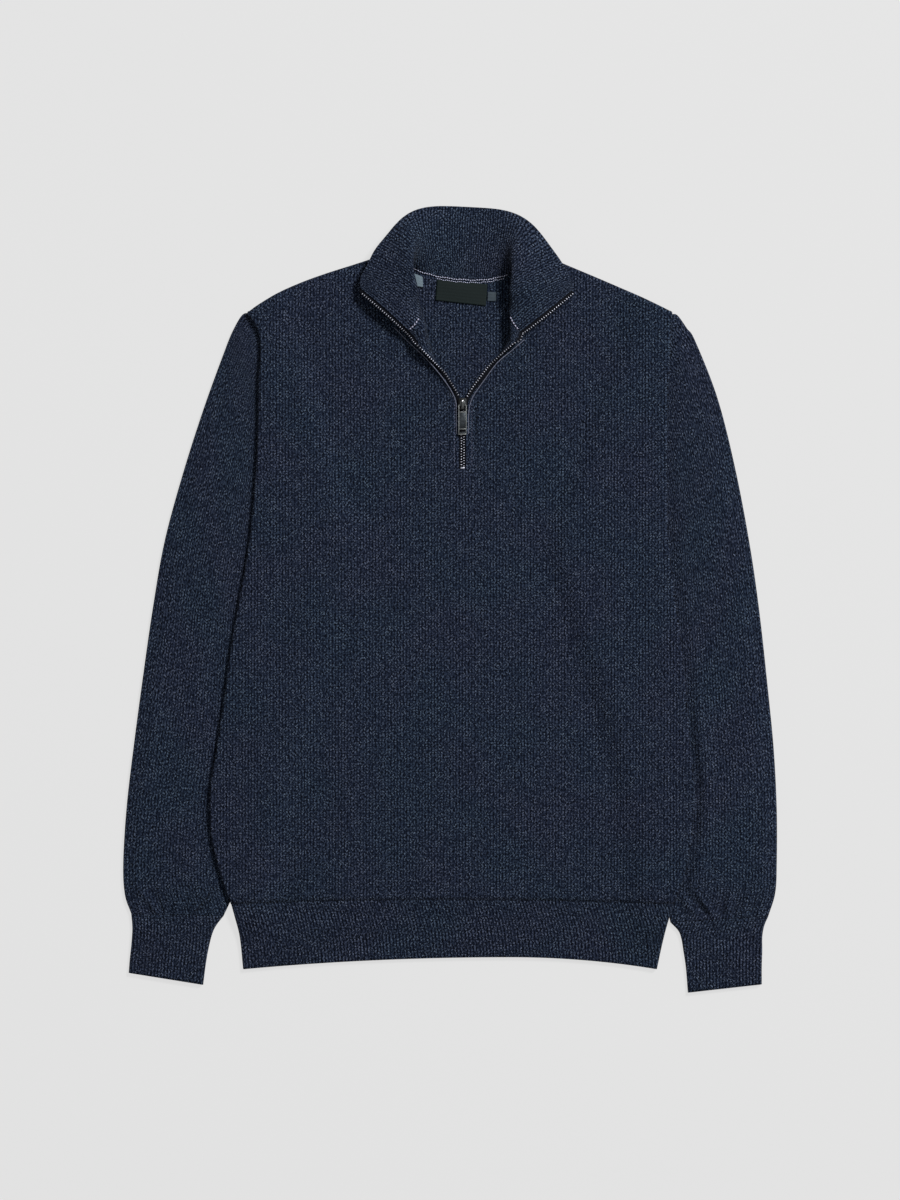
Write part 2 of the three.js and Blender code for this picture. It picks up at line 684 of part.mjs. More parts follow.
// Sleeve sections, closer towards the cuff, the part of the width that each rim takes, and
// the places of the top's points across the width
const SLEEVE_ROWS = 15;
const SLEEVE_CROWDING = 1.25;
const SLEEVE_RIM = 0.12;
const SLEEVE_TOP = [0, 0.1, 0.24, 0.35, 0.45, 0.56, 0.67, 0.76, 0.86, 1];
const SLEEVE_BOTTOM = [0, 0.5, 1];
const ROUND_POINTS = 3;
const onTable = () => 0;
const evenShares = (steps) => Array.from({ length: steps + 1 }, (_, k) => k / steps);

// Extra height of a sleeve where it isn't pressed under the body
function sleevePuff(x, y) {
  const left = x < ZIP_X;
  const edge = lookUp(BODY_SIDES, "y", y, left ? "left" : "right");
  const outside = left ? edge - x : x - edge;
  return SLEEVE_PUFF * smooth((outside - PUFF_START) / PUFF_WIDTH);
}

// Height of the gathers at a place on the sleeve, share being the part of its width
function puckerHeight(share, toCuff) {
  let height = 0;
  for (const pucker of CUFF_PUCKERS) {
    const away = (share - pucker.part) / PUCKER_HALF;
    const fade = smooth(1 - toCuff / pucker.length) * smooth(toCuff / PUCKER_START);
    height += pucker.height * Math.exp(-away * away) * fade;
  }
  return height;
}

function sleeve(rows) {
  const cuffY = rows.at(-1).outerY;
  const high = (x, y, share) => {
    const rim = smooth(share / SLEEVE_RIM) * smooth((1 - share) / SLEEVE_RIM);
    return SLEEVE_DEPTH + rim * sleevePuff(x, y) * smooth((y - cuffY) / PUFF_TO_CUFF)
      + rim * puckerHeight(share, Math.max(y - cuffY, 0));
  };
  const sections = [];
  for (let k = 0; k < SLEEVE_ROWS; k += 1) {
    const part = 1 - (1 - k / (SLEEVE_ROWS - 1)) ** SLEEVE_CROWDING;
    const row = rowAt(rows, part);
    const gap = k === SLEEVE_ROWS - 1 ? SEAM_GAP / 2 : 0;
    const loop = (inset) => flatLoop({
      outer: [row.outerX, row.outerY + gap],
      inner: [row.innerX, row.innerY + gap],
      depth: SLEEVE_DEPTH,
      low: onTable,
      high,
      inset,
      bottom: SLEEVE_BOTTOM,
      side: ROUND_POINTS,
      top: SLEEVE_TOP,
    });
    sections.push({ outer: loop(0), inner: loop(PANEL_WALL) });
  }
  return tubeWall(sections);
}

// A flattened tube of ribs that run from its first row to its last
function ribTube(rows, shape, flatShares) {
  const width = (row) => Math.hypot(row.outerX - row.innerX, row.outerY - row.innerY);
  const mean = rows.reduce((sum, row) => sum + width(row), 0) / rows.length;
  const count = Math.round((mean - shape.depth) / RIB_PITCH);
  const ribs = evenShares(2 * count);
  return tubeWall(rows.map((row) => {
    const section = {
      ...shape,
      outer: [row.outerX, row.outerY],
      inner: [row.innerX, row.innerY],
      bend: row.bend,
      bottom: flatShares,
    };
    return {
      outer: flatLoop({
        ...section, inset: 0, side: ROUND_POINTS, top: ribs, relief: [RIB_RELIEF, 0],
      }),
      inner: flatLoop({ ...section, inset: RIB_WALL, side: 1, top: flatShares }),
    };
  }));
}

function cuff(rows) {
  const gap = SEAM_GAP / 2;
  const first = { ...rows[0], outerY: rows[0].outerY - gap, innerY: rows[0].innerY - gap };
  return ribTube([first, ...rows.slice(1)], {
    depth: SLEEVE_DEPTH,
    low: onTable,
    high: () => SLEEVE_DEPTH + RIB_RELIEF,
  }, evenShares(3));
}

function hemRib() {
  const rows = HEM_SIDES.map(({ part, left, right }) => {
    const gap = part ? 0 : SEAM_GAP / 2;
    return {
      outerX: left,
      outerY: 0,
      innerX: right,
      innerY: 0,
      bend: (x) => THREE.MathUtils.lerp(hemSeamY(x) - gap, hemEdgeY(x), part),
    };
  });
  return ribTube(rows, {
    depth: BODY_DEPTH,
    low: bodyBase,
    high: (x, y) => frontMiddle(x, y) + PANEL_WALL / 2,
  }, evenShares(12));
}

const COLLAR_COLUMNS = 34;
const COLLAR_STEPS = 8;
const COLLAR_REACH = 0.12;
const COLLAR_START = 3 * SEAM_GAP;
const COLLAR_CALMING = 2;
const NECK_CENTRE = new THREE.Vector3(ZIP_X, 310, 0);
const NECK_COLUMN = ROLL_ANGLES.length + SIDE_SHARES.length - 1;
const HIDDEN_SEAM_INSET = 2;
const HIDDEN_START = 1.3;

// Where along the seam the roll hides it: the left stretch and the right one
const HIDDEN_FADE = 0.04;
const HIDDEN_STRETCHES = [[0.09, 0.35], [0.66, 0.93]];

// The neck seam from the left zip edge round the back to the right one. Where the collar's
// roll hides it, the seam stands a little inside the neck hole.
function neckSeam(front, back) {
  const frontTop = front[front.length - 1 - ROLL_ANGLES.length];
  const backTop = back[back.length - 1 - ROLL_ANGLES.length];
  const zipColumn = ROLL_ANGLES.length + HALF_COLUMNS - 1;
  const left = frontTop.slice(NECK_COLUMN, zipColumn + 1).reverse();
  const right = frontTop.slice(zipColumn + 1, frontTop.length - NECK_COLUMN).reverse();
  const behind = backTop.slice(NECK_COLUMN, backTop.length - NECK_COLUMN);
  const middle = (a, b) => a.clone().lerp(b, 0.5);
  const points = [
    ...left.slice(0, -1),
    middle(left.at(-1), behind[0]),
    ...behind.slice(1, -1).map((point) => point.clone().setZ((COLLAR_WALL + SEAM_GAP) / 2)),
    middle(right[0], behind.at(-1)),
    ...right.slice(1),
  ].map((point) => point.clone());
  const hidden = NECK_SHARES.length + 1;
  for (const first of [LAPEL_STEPS, points.length - LAPEL_STEPS - hidden]) {
    for (const point of points.slice(first, first + hidden)) {
      const inward = NECK_CENTRE.clone().setZ(point.z).sub(point).normalize();
      point.addScaledVector(inward, HIDDEN_SEAM_INSET);
    }
  }
  const onLapels = (k) => k <= LAPEL_STEPS || k >= points.length - 1 - LAPEL_STEPS;
  const calm = relaxed(points, COLLAR_CALMING, (k) => !onLapels(k));
  return new THREE.CatmullRomCurve3(calm, false, "centripetal");
}

// A row of points, each drawn towards its neighbours, where chosen says so
function relaxed(points, passes, chosen) {
  let row = points;
  for (let pass = 0; pass < passes; pass += 1) {
    row = row.map((point, k) => (chosen(k)
      ? point.clone().lerp(row[k - 1].clone().lerp(row[k + 1], 0.5), 0.5)
      : point));
  }
  return row;
}

// How much of a section's foot is hidden, 0 to 1, at a part of the way along the seam
function hiddenShare(part) {
  return HIDDEN_STRETCHES.reduce((sum, [from, to]) =>
    sum + smooth((part - from) / HIDDEN_FADE) * smooth((to - part) / HIDDEN_FADE), 0);
}

// The collar's middle points, rows from the seam to the top edge
function collarGrid(seam) {
  const columns = [];
  for (let k = 0; k < COLLAR_COLUMNS; k += 1) {
    const row = rowAt(COLLAR, k / (COLLAR_COLUMNS - 1));
    const foot = seam.getPointAt(THREE.MathUtils.clamp(row.part, 0, 1));
    const middle = new THREE.Vector3(row.middleX, row.middleY, row.middleZ);
    const edge = new THREE.Vector3(row.edgeX, row.edgeY, row.edgeZ);
    const handle = middle.clone().multiplyScalar(8).sub(foot).sub(edge).divideScalar(6);
    const reach = edge.clone().sub(foot).setZ(0).multiplyScalar(COLLAR_REACH);
    const curve = new THREE.CubicBezierCurve3(
      foot, handle.clone().sub(reach), handle.clone().add(reach), edge);
    const start = (COLLAR_START + HIDDEN_START * hiddenShare(row.part)) / curve.getLength();
    columns.push(Array.from({ length: COLLAR_STEPS + 1 }, (_, step) =>
      curve.getPointAt(start + (1 - start) * step / COLLAR_STEPS)));
  }
  return Array.from({ length: COLLAR_STEPS + 1 }, (_, step) => {
    const row = columns.map((column) => column[step]);
    return relaxed(row, step ? COLLAR_CALMING : 0, (k) => k > 0 && k < COLLAR_COLUMNS - 1);
  });
}

// A solid through closed polygons of the same number of corners, capped at both ends
function loft(polygons) {
  const positions = polygons.flatMap((polygon) => polygon.flatMap((p) => [p.x, p.y, p.z]));
  const size = polygons[0].length;
  const faces = [];
  for (let k = 0; k < polygons.length - 1; k += 1) {
    for (let m = 0; m < size; m += 1) {
      const [a, b] = [k * size + m, k * size + (m + 1) % size];
      faces.push(a, b, b + size, a, b + size, a + size);
    }
  }
  const last = (polygons.length - 1) * size;
  for (let m = 1; m < size - 1; m += 1) {
    faces.push(0, m + 1, m, last, last + m, last + m + 1);
  }
  return facingOut(geometryFrom(positions, faces));
}

const CLOSED_BELOW_Y = SLIDER.topY - 8;

// One half of the zip: a narrow strip of tape beyond the cloth's edge, and its row of teeth.
// edges holds the cloth's edge point and the point before it in the cloth, from the zip's
// lower end up to the collar's tip.
function zipHalf(edges, left) {
  const frames = edges.map(({ edge, before }, k) => {
    const above = edges[Math.min(k + 1, edges.length - 1)].edge;
    const below = edges[Math.max(k - 1, 0)].edge;
    const along = above.clone().sub(below).normalize();
    const out = edge.clone().sub(before);
    out.addScaledVector(along, -out.dot(along)).normalize();
    return { edge, out, up: out.clone().cross(along).normalize() };
  });
  const toothX = ZIP_X + (left ? -1 : 1) * (TOOTH_GAP + TOOTH_HALF);
  return loft(frames.map(({ edge, out, up }) => {
    const closed = edge.y < CLOSED_BELOW_Y;
    const root = closed ? SEAM_GAP : 2 * SEAM_GAP;
    const reach = closed ? Math.abs(toothX - edge.x) : TAPE_REACH + SEAM_GAP;
    const corners = [
      [root, 0.5 * TAPE_WALL],
      [reach - TOOTH_HALF, 0.5 * TAPE_WALL],
      [reach - 0.5 * TOOTH_HALF, 0.5 * TOOTH_DEPTH],
      [reach + 0.5 * TOOTH_HALF, 0.5 * TOOTH_DEPTH],
      [reach + TOOTH_HALF, 0.3 * TOOTH_DEPTH],
    ];
    const ring = [...corners, ...corners.map(([x, z]) => [x, -z]).reverse()];
    return ring.map(([x, z]) => edge.clone().addScaledVector(out, x).addScaledVector(up, z));
  }));
}

// The zip edge from the slit's lower end to the collar's tip
function zipEdges(front, collar, left) {
  const zipColumn = ROLL_ANGLES.length + HALF_COLUMNS - (left ? 1 : 0);
  const inside = left ? -1 : 1;
  const firstRow = FRONT_LEFT.findIndex((row) => row.edgeY === ZIP_BOTTOM_Y) + 1;
  const frontRows = front.slice(firstRow, front.length - ROLL_ANGLES.length);
  const onFront = frontRows.map((row) => (
    { edge: row[zipColumn], before: row[zipColumn + inside] }));
  const onCollar = collar.slice(1).map((row) => {
    const line = left ? row : [...row].reverse();
    return { edge: line[0], before: line[1] };
  });
  return [...onFront, ...onCollar];
}

function toSolid(geometry) {
  const bare = geometry.clone();
  bare.deleteAttribute("normal");
  bare.deleteAttribute("uv");
  const merged = mergeVertices(bare, 1e-4);
  return new wasm.Manifold(new wasm.Mesh({
    numProp: 3,
    vertProperties: new Float32Array(merged.getAttribute("position").array),
    triVerts: new Uint32Array(merged.getIndex().array),
  }));
}

function toGeometry(solid) {
  const mesh = solid.getMesh();
  const geometry = new THREE.BufferGeometry();
  geometry.setAttribute("position", new THREE.Float32BufferAttribute(mesh.vertProperties, 3));
  geometry.setIndex(Array.from(mesh.triVerts));
  return geometry;
}

// A rounded rectangle about the centre line, from its top down
function roundedShape(half, top, bottom, radius) {
  const shape = new THREE.Shape();
  shape.absarc(half - radius, top - radius, radius, 0, Math.PI / 2);
  shape.absarc(radius - half, top - radius, radius, Math.PI / 2, Math.PI);
  shape.absarc(radius - half, bottom + radius, radius, Math.PI, 1.5 * Math.PI);
  shape.absarc(half - radius, bottom + radius, radius, 1.5 * Math.PI, 2 * Math.PI);
  return shape;
}

function extrude(shape, depth) {
  return new THREE.ExtrudeGeometry(shape, { depth, bevelEnabled: false, curveSegments: 4 });
}

// The slider: two plates round the channel, the wedge between the tapes, lips and the bridge
function zipSlider() {
  const { topY, length, half, plate, channel, round } = SLIDER;
  const bottomY = topY - length;
  const plateShape = roundedShape(half, topY, bottomY, round);
  const parts = [-channel / 2 - plate, channel / 2].map((z) =>
    extrude(plateShape, plate).translate(ZIP_X, 0, z));
  const wedge = new THREE.Shape([
    new THREE.Vector2(0, topY - WEDGE.length),
    new THREE.Vector2(WEDGE.half, topY),
    new THREE.Vector2(-WEDGE.half, topY),
  ]);
  parts.push(extrude(wedge, channel + plate).translate(ZIP_X, 0, -(channel + plate) / 2));
  const lipX = half - SLIDER_LIP.wide / 2;
  const lipY = bottomY + SLIDER_LIP.fromEnd + SLIDER_LIP.length / 2;
  const lipZ = channel / 2 - SLIDER_LIP.high / 4;
  for (const side of [-1, 1]) {
    for (const level of [-1, 1]) {
      const box = new THREE.BoxGeometry(SLIDER_LIP.wide, SLIDER_LIP.length, SLIDER_LIP.high);
      parts.push(box.translate(ZIP_X + side * lipX, lipY, level * lipZ));
    }
  }
  parts.push(bridgeGeometry());
  const solid = parts.map(toSolid).reduce((sum, part) => sum.add(part));
  return toGeometry(solid).translate(0, 0, CHAIN_Z);
}

// The bridge that holds the pull, an arch along the slider's top plate
function bridgeGeometry() {
  const { topY, length, half, wall, room, round, root } = BRIDGE;
  const plateTop = SLIDER.channel / 2 + SLIDER.plate;
  const low = plateTop - root;
  const inside = plateTop + room;
  const outside = inside + wall;
  const bottomY = topY - length;
  const arch = new THREE.Shape();
  arch.moveTo(topY, low);
  arch.lineTo(topY, outside - round);
  arch.quadraticCurveTo(topY, outside, topY - round, outside);
  arch.lineTo(bottomY + 2 * round, outside);
  arch.quadraticCurveTo(bottomY, outside, bottomY, inside - round);
  arch.lineTo(bottomY, low);
  arch.lineTo(bottomY + wall, low);
  arch.lineTo(bottomY + wall, inside - round);
  arch.lineTo(bottomY + wall + round, inside);
  arch.lineTo(topY - wall, inside);
  arch.lineTo(topY - wall, low);
  const profile = extrude(arch, 2 * half);
  const matrix = new THREE.Matrix4().makeBasis(
    new THREE.Vector3(0, 1, 0), new THREE.Vector3(0, 0, 1), new THREE.Vector3(1, 0, 0));
  return profile.applyMatrix4(matrix).translate(ZIP_X - half, 0, 0);
}

// The pull tab, about its pin: a window for the bridge, and a small slot near its end
function zipPull() {
  const { half, length, wall } = PULL;
  const bar = wall / 2;
  const shape = roundedShape(half, bar, bar - length, 0.7);
  const { endY } = PULL_WINDOW;
  shape.holes.push(roundedShape(half - PULL_WINDOW.margin, -bar, endY, PULL_WINDOW.round));
  const [slotTop, slotBottom] = [PULL_SLOT.top - length, PULL_SLOT.bottom - length];
  shape.holes.push(roundedShape(half - PULL_SLOT.margin, slotTop, slotBottom, PULL_SLOT.round));
  return extrude(shape, wall).translate(0, 0, -wall / 2);
}

// A blank label: its corners in plan, from its upper left to the right, and two heights
function label({ corners, highZ, lowZ }) {
  const places = corners.map(([x, y]) => new THREE.Vector2(x, y));
  const [topLeft, topRight, bottomRight, bottomLeft] = places;
  const grid = evenShares(3).map((up) => evenShares(4).map((across) => {
    const lower = bottomLeft.clone().lerp(bottomRight, across);
    const upper = topLeft.clone().lerp(topRight, across);
    const plan = lower.lerp(upper, up);
    return new THREE.Vector3(plan.x, plan.y, THREE.MathUtils.lerp(lowZ, highZ, up));
  }));
  return wallFromGrid(grid, LABEL_WALL);
}

const sweater = new THREE.Group();

function add(name, geometry, finish) {
  const mesh = new THREE.Mesh(geometry, new THREE.MeshStandardMaterial(finish));
  mesh.name = name;
  sweater.add(mesh);
  return mesh;
}

const front = frontGrid();
const back = backGrid();
const seam = neckSeam(front, back);
const collar = collarGrid(seam);

add("front", wallFromGrid(front, PANEL_WALL, frontCellKept(front)), NAVY);
add("back", wallFromGrid(back, PANEL_WALL, backCellKept(back)), NAVY);
add("hem_rib", hemRib(), NAVY);
add("sleeve_left", sleeve(SLEEVE_LEFT), NAVY);
add("sleeve_right", sleeve(SLEEVE_RIGHT), NAVY);
add("cuff_left", cuff(CUFF_LEFT), NAVY);
add("cuff_right", cuff(CUFF_RIGHT), NAVY);
add("collar", wallFromGrid(collar, COLLAR_WALL), NAVY);
add("zip_half_left", zipHalf(zipEdges(front, collar, true), true), ZIP_CLOTH);
add("zip_half_right", zipHalf(zipEdges(front, collar, false), false), ZIP_CLOTH);
add("zip_slider", zipSlider(), METAL);
const pull = add("zip_pull", zipPull(), METAL);
pull.position.set(ZIP_X, PULL.pinY, CHAIN_Z + SLIDER.channel / 2 + SLIDER.plate + BRIDGE.room / 2);
pull.rotation.x = PULL.tilt;
add("label_main", label(LABELS.main), LABEL_GREEN);
add("label_size", label(LABELS.size), LABEL_GREY);
add("label_care", label(LABELS.care), LABEL_WHITE);

export default sweater;
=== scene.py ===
"""A quarter zip sweater in fine melange knit, laid flat on its back, round its CAD frame.

The shapes follow the part's own sections, in millimetres, on closer points, and become
metres where each mesh is made. X runs to the viewer's right, Y from the hem to the collar.
"""

import math

import bmesh
import bpy
import numpy as np
from mathutils import Matrix, Vector


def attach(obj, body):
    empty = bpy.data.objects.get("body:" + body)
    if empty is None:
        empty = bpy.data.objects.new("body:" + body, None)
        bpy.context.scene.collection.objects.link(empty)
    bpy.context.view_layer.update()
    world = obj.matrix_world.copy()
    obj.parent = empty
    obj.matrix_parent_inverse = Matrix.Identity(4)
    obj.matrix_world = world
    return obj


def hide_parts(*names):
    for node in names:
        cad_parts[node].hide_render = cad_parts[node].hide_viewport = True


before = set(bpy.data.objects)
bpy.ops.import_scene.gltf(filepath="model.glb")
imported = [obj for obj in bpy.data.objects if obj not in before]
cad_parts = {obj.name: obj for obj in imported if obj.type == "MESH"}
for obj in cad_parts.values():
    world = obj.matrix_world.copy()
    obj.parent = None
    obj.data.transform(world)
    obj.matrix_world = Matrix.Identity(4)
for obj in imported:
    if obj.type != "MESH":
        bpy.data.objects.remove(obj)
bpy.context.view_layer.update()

MM = 0.001
GARMENT = "garment"
PULL_TAB = "pull_tab"

# Cloth: walls and depths of the flattened tubes
PANEL_WALL = 1.6
RIB_WALL = 2.0
COLLAR_WALL = 2.6
SEAM_GAP = 0.3
BODY_DEPTH = 6.4
SLEEVE_DEPTH = 5.2
# How far a sleeve's top stands up beside the body, from where and over what width
SLEEVE_PUFF = 2.4
PUFF_START = {"left": 4, "right": 0.5}
PUFF_WIDTH = {"left": 24, "right": 12}
# The right sleeve's fuller line beside the body: height, place, width and where it starts
SLEEVE_SWELL = 2.4
SWELL_PLACE = 12
SWELL_WIDTH = 10
SWELL_FOOT = 9
SWELL_TOP_Y = -60
SWELL_FADE = 90
# The rolled sides, the front's settling inside them, and the sizes of stitches and ribs
ROLL_RADIUS = (BODY_DEPTH - PANEL_WALL) / 2
SETTLE = 1.2
SETTLE_WIDTH = 60
WALE = 3.1
COURSE = 2.3
RIB_PITCH = 3.3
RIB_RELIEF = 0.75
COLLAR_RIB = 2.4
COLLAR_RELIEF = 0.3

# Where the body lies over the sleeves
SLEEVE_CLEARANCE = SLEEVE_DEPTH + 0.6
CLIMB_START = 22
CLIMB_WIDTH = 30

# Hem: its seam and its lower edge, both curved
HEM_SEAM_Y = -299
HEM_SEAM_DROP = 4
HEM_OVERLAP = 0.9
PUCKER_HEIGHT = 0.34
PUCKER_REACH = 9
SEAM_DIP = 0.2
SEAM_DIP_WIDTH = 2.5
HEM_EDGE_Y = -357.3
HEM_EDGE_DROP = 12
HEM_HIGH_X = 60
HEM_HALF = 207
BODY_HALF = 220

# Zip: centre line, lower end, chain and tape
ZIP_X = 12.5
ZIP_BOTTOM_Y = 132
CHAIN_Z = 5.3
TAPE_WALL = 0.8
TOOTH_REACH = 3.7
TOOTH_PITCH = 2.65
SLIDER_TOP_Y = 202
SLIDER_LENGTH = 12
SLIDER_HALF = 4.2
SLIDER_CHANNEL = 3.4
SLIDER_PLATE = 0.95
PIN_Y = 198.2
PIN_Z = CHAIN_Z + SLIDER_CHANNEL / 2 + SLIDER_PLATE + 1.35
PULL_HALF = 4.15
PULL_LENGTH = 33.8
PULL_TOP_Y = -3.4
PULL_WINDOW_Y = -10.4
SLOT_LOW = 2.9
SLOT_HIGH = 5.2
PULL_TILT = math.radians(2)


def table(names, rows):
    """The rows as one array for each named column."""
    return dict(zip(names.split(), np.array(rows, float).T))


BODY_SIDES = table("y left right", [
    (-303, -219, 225), (-281, -228, 234), (-235, -239, 242), (-190, -240, 245),
    (-145, -233, 240), (-90, -225, 236.5), (-25, -216, 229), (20, -207, 223),
    (65, -200, 218.5), (109, -196, 217), (154, -193, 217), (220, -191.5, 219),
    (265, -191, 221), (289, -204, 222.5),
])
HIDDEN_EDGES = table("y left right", [
    (-325, -220, 221), (-250, -210, 218), (-184, -196, 209), (-98, -174, 187),
    (-24, -150, 163.5), (55, -128, 142), (110, -148, 162), (180, -168, 184),
    (240, -186, 206), (289, -198, 218),
])
# Where the body starts to climb over each sleeve, and over what length
CLIMB_FOOT = {"left": (-350, 45), "right": (-357, 36)}

# Rows of the front's halves from the hem up, as in the part: the place below the neck point,
# the start of the lapel, the handles of its curve and its edge at the zip. Below the slider
# the right half mirrors the left one
FRONT_COLUMNS = "side neckX neckY startX startY bendX topX topY topLift edgeX edgeY edgeLift"
LOWER_ROWS = [
    (-275, -84, -275, -32, -275, -18, -5), (-235, -84, -235, -32, -235, -18, -5),
    (-190, -82, -190, -30, -190, -17, -4), (-145, -80, -145, -28, -145, -16, -4),
    (-98, -77, -98, -26, -98, -14, -3), (-50, -74, -50, -24, -50, -13, -2),
    (0, -70, 0, -21, 0, -11, -1), (48, -66, 48, -17, 48, -8, 0),
    (92, -62, 93, -12, 94, -5, 2), (126, -59, 130, -6, 132, -1, 4),
    (146, -58, 160, -4, 166, 0.5, 4.5),
]


def front_table(middle, sign, edge_x, upper_rows):
    """One half's rows: the shared lower ones about a middle line, then its own upper ones."""
    lower = [(side, middle + sign * neck_x, neck_y, middle + sign * start_x, start_y,
              middle + sign * bend_x, middle + sign * top_x, start_y, 0, edge_x, start_y, 0)
             for side, neck_x, neck_y, start_x, start_y, bend_x, top_x in LOWER_ROWS]
    return table(FRONT_COLUMNS, lower + upper_rows)


FRONT_LEFT = front_table(0, 1, 9.2, [
    (160, -57, 184, -4, 188, 0, 4, 188, 0.3, 7.6, 188, 0.5),
    (174, -57, 204, -6, 204, 0, 2, 200, 0.4, 6.4, 198.5, 0.6),
    (190, -57, 225, -12, 222, -6, -1.6, 210, 0.4, 3.2, 208, 0.9),
    (208, -57, 246, -21, 238, -14, -9, 222, 1.6, -4.8, 220.8, 4.4),
    (222, -57, 262, -27, 250, -15, -13.5, 232, 3.2, -12.2, 231, 6.8),
    (236, -57, 279, -32, 261, -16.5, -17.5, 242, 5.5, -19.8, 239.8, 9),
    (254, -57, 303, -35, 275, -19, -20.5, 256.5, 15, -29.5, 251.5, 12),
    (270, -57.5, 325, -37, 287, -22, -22, 267, 25, -34.5, 261, 12.5),
    (286, -58, 346, -39, 297, -25, -27.5, 278, 26, -41.5, 269, 13),
])
FRONT_RIGHT = front_table(24, -1, 15.8, [
    (160, 82, 184, 28, 188, 24, 20, 188, 0.3, 17.4, 188, 0.5),
    (174, 82, 204, 31, 203, 25, 22, 200, 0.4, 18.6, 198.5, 0.6),
    (190, 82, 225, 38, 220, 32, 28, 210, 0.4, 23.6, 208, 0.9),
    (208, 82, 246, 48, 235, 41, 37.5, 224, 1.5, 33.8, 222, 3.2),
    (222, 82, 262, 55, 246, 48, 45, 235, 3.4, 42, 232.5, 5),
    (236, 82, 279, 61, 257, 54, 52.5, 246, 5.5, 50.8, 243, 7.6),
    (254, 82.5, 303, 67, 271, 58, 57, 256, 12, 61.5, 252.5, 10.5),
    (270, 83, 325, 69.5, 284, 57, 57.5, 267, 22, 67.5, 261.5, 11.5),
    (286, 84, 346, 68, 296, 54, 57.5, 280, 25, 70, 268, 12),
])
# The back's neckline: how much of its dip the rows take from the top down, and the dip
BACK_DIP_FROM_TOP = [1, 0.87, 0.55, 0.28, 0.1]
BACK_NECK = table("x drop", [
    (-58, 0), (-44, 13.5), (-27, 20.5), (-8, 24), (13, 26),
    (34, 27.7), (54, 25), (70, 17), (84, 0),
])

# Shoulder tips and neck points, and how far each shoulder line bows up
SHOULDER_TIP = {"left": -203, "right": 222, "y": 287}
SHOULDER_NECK = {"left": -58, "right": 84, "y": 349}
SHOULDER_BULGE = {"left": 47, "right": 10, "startY": 200, "length": 86}

# How closely the panels are divided
PLAIN_ROWS = 100
LAPEL_ROWS = 72
LAPEL_ROWS_START = ZIP_BOTTOM_Y - 6
SIDE_COLUMNS = 46
NECK_COLUMNS = 13
LAPEL_COLUMNS = 29
BACK_SIDE_COLUMNS = 36
BACK_NECK_COLUMNS = 57

SIDE_SHARES = np.array([0, 0.07, 0.2, 0.36, 0.54, 0.72, 0.87, 1])
NECK_SHARES = np.array([1 / 3, 2 / 3, 1])
LAPEL_STEPS = 7

SLEEVE_COLUMNS = "outerX outerY innerX innerY"
SLEEVE_LEFT = table(SLEEVE_COLUMNS, [
    (-199, 287, -154, 180), (-207.5, 285.6, -151, 150), (-217, 270, -144, 105),
    (-226, 248, -131, 36), (-247, 190, -139, 8),
    (-268, 124, -150, -24), (-286, 57, -162, -60), (-298, -12, -174, -98),
    (-308, -82, -186, -140), (-316.5, -146, -196, -184), (-323.5, -206, -204, -226),
    (-327, -262, -211, -266), (-325.5, -294, -216, -292), (-319, -314, -226.5, -316),
])
SLEEVE_RIGHT = table(SLEEVE_COLUMNS, [
    (221, 286, 142, 55), (227.5, 285, 142.5, 50), (237, 272, 143.5, 44),
    (245.5, 259, 145, 36), (268, 201, 153, 8),
    (286, 129, 163.5, -24), (300.5, 52, 175, -60), (310, -15, 187, -98),
    (318, -88, 199, -140), (324, -150, 209, -184), (327, -210, 216, -226),
    (327, -264, 219, -266), (325.5, -293, 216, -298), (318.5, -316.5, 220.5, -322.5),
])
CUFF_LEFT = table(SLEEVE_COLUMNS, [
    (-319, -314, -226.5, -316), (-318, -325, -233.5, -325), (-318, -333, -237.5, -333),
    (-319, -346, -241, -346), (-320.5, -360, -244, -362), (-321.5, -373, -247, -385),
])
CUFF_RIGHT = table(SLEEVE_COLUMNS, [
    (318.5, -316.5, 220.5, -322.5), (314.5, -326, 228.5, -331), (312.5, -337, 231.5, -339),
    (312.5, -351, 233.5, -351), (312, -367, 236, -368), (312, -384.5, 238, -392.8),
])
HEM_SIDES = table("part left right", [
    (0, -219, 224), (0.22, -215, 219), (0.5, -210.5, 214), (1, -HEM_HALF, HEM_HALF),
])

# Soft creases of the front, its main folds first: ends, half width and height
FRONT_CREASES = table("x1 y1 x2 y2 width height", [
    (-104, 300, -141, 201, 16, 1.2),
    (140, 296, 152, 240, 14, 0.9),
    (134, -76, 165, -191, 14, -1.1),
    (96, -165, 104, -285, 14, 0.9),
    (-172, 20, -166, -95, 24, -1.0),
    (-60, 150, -95, 40, 20, 0.5),
    (60, 175, 110, 90, 18, -0.5),
    (-10, -60, 20, -200, 26, 0.5),
    (-130, -170, -110, -280, 16, -0.6),
    (-188, 240, -170, 150, 9, 0.7),
    (196, 250, 182, 160, 10, -0.5),
    (120, -190, 131, -285, 9, -0.6),
    (-60, -240, -52, -292, 12, 0.4),
    (40, -230, 30, -292, 12, -0.4),
])
SLEEVE_CREASES = table("x1 y1 x2 y2 width height", [
    (-268, 60, -215, -30, 15, 0.9),
    (-300, -150, -250, -235, 13, -0.9),
    (-262, -60, -236, -150, 14, 0.6),
    (-236, 190, -206, 120, 10, -0.7),
    (282, 40, 236, -50, 15, -0.8),
    (312, -120, 262, -215, 14, 0.9),
    (262, 150, 240, 60, 11, 0.7),
    (300, -200, 286, -280, 12, -0.8),
    (251, -225, 252, -268, 7, -1.3),
])

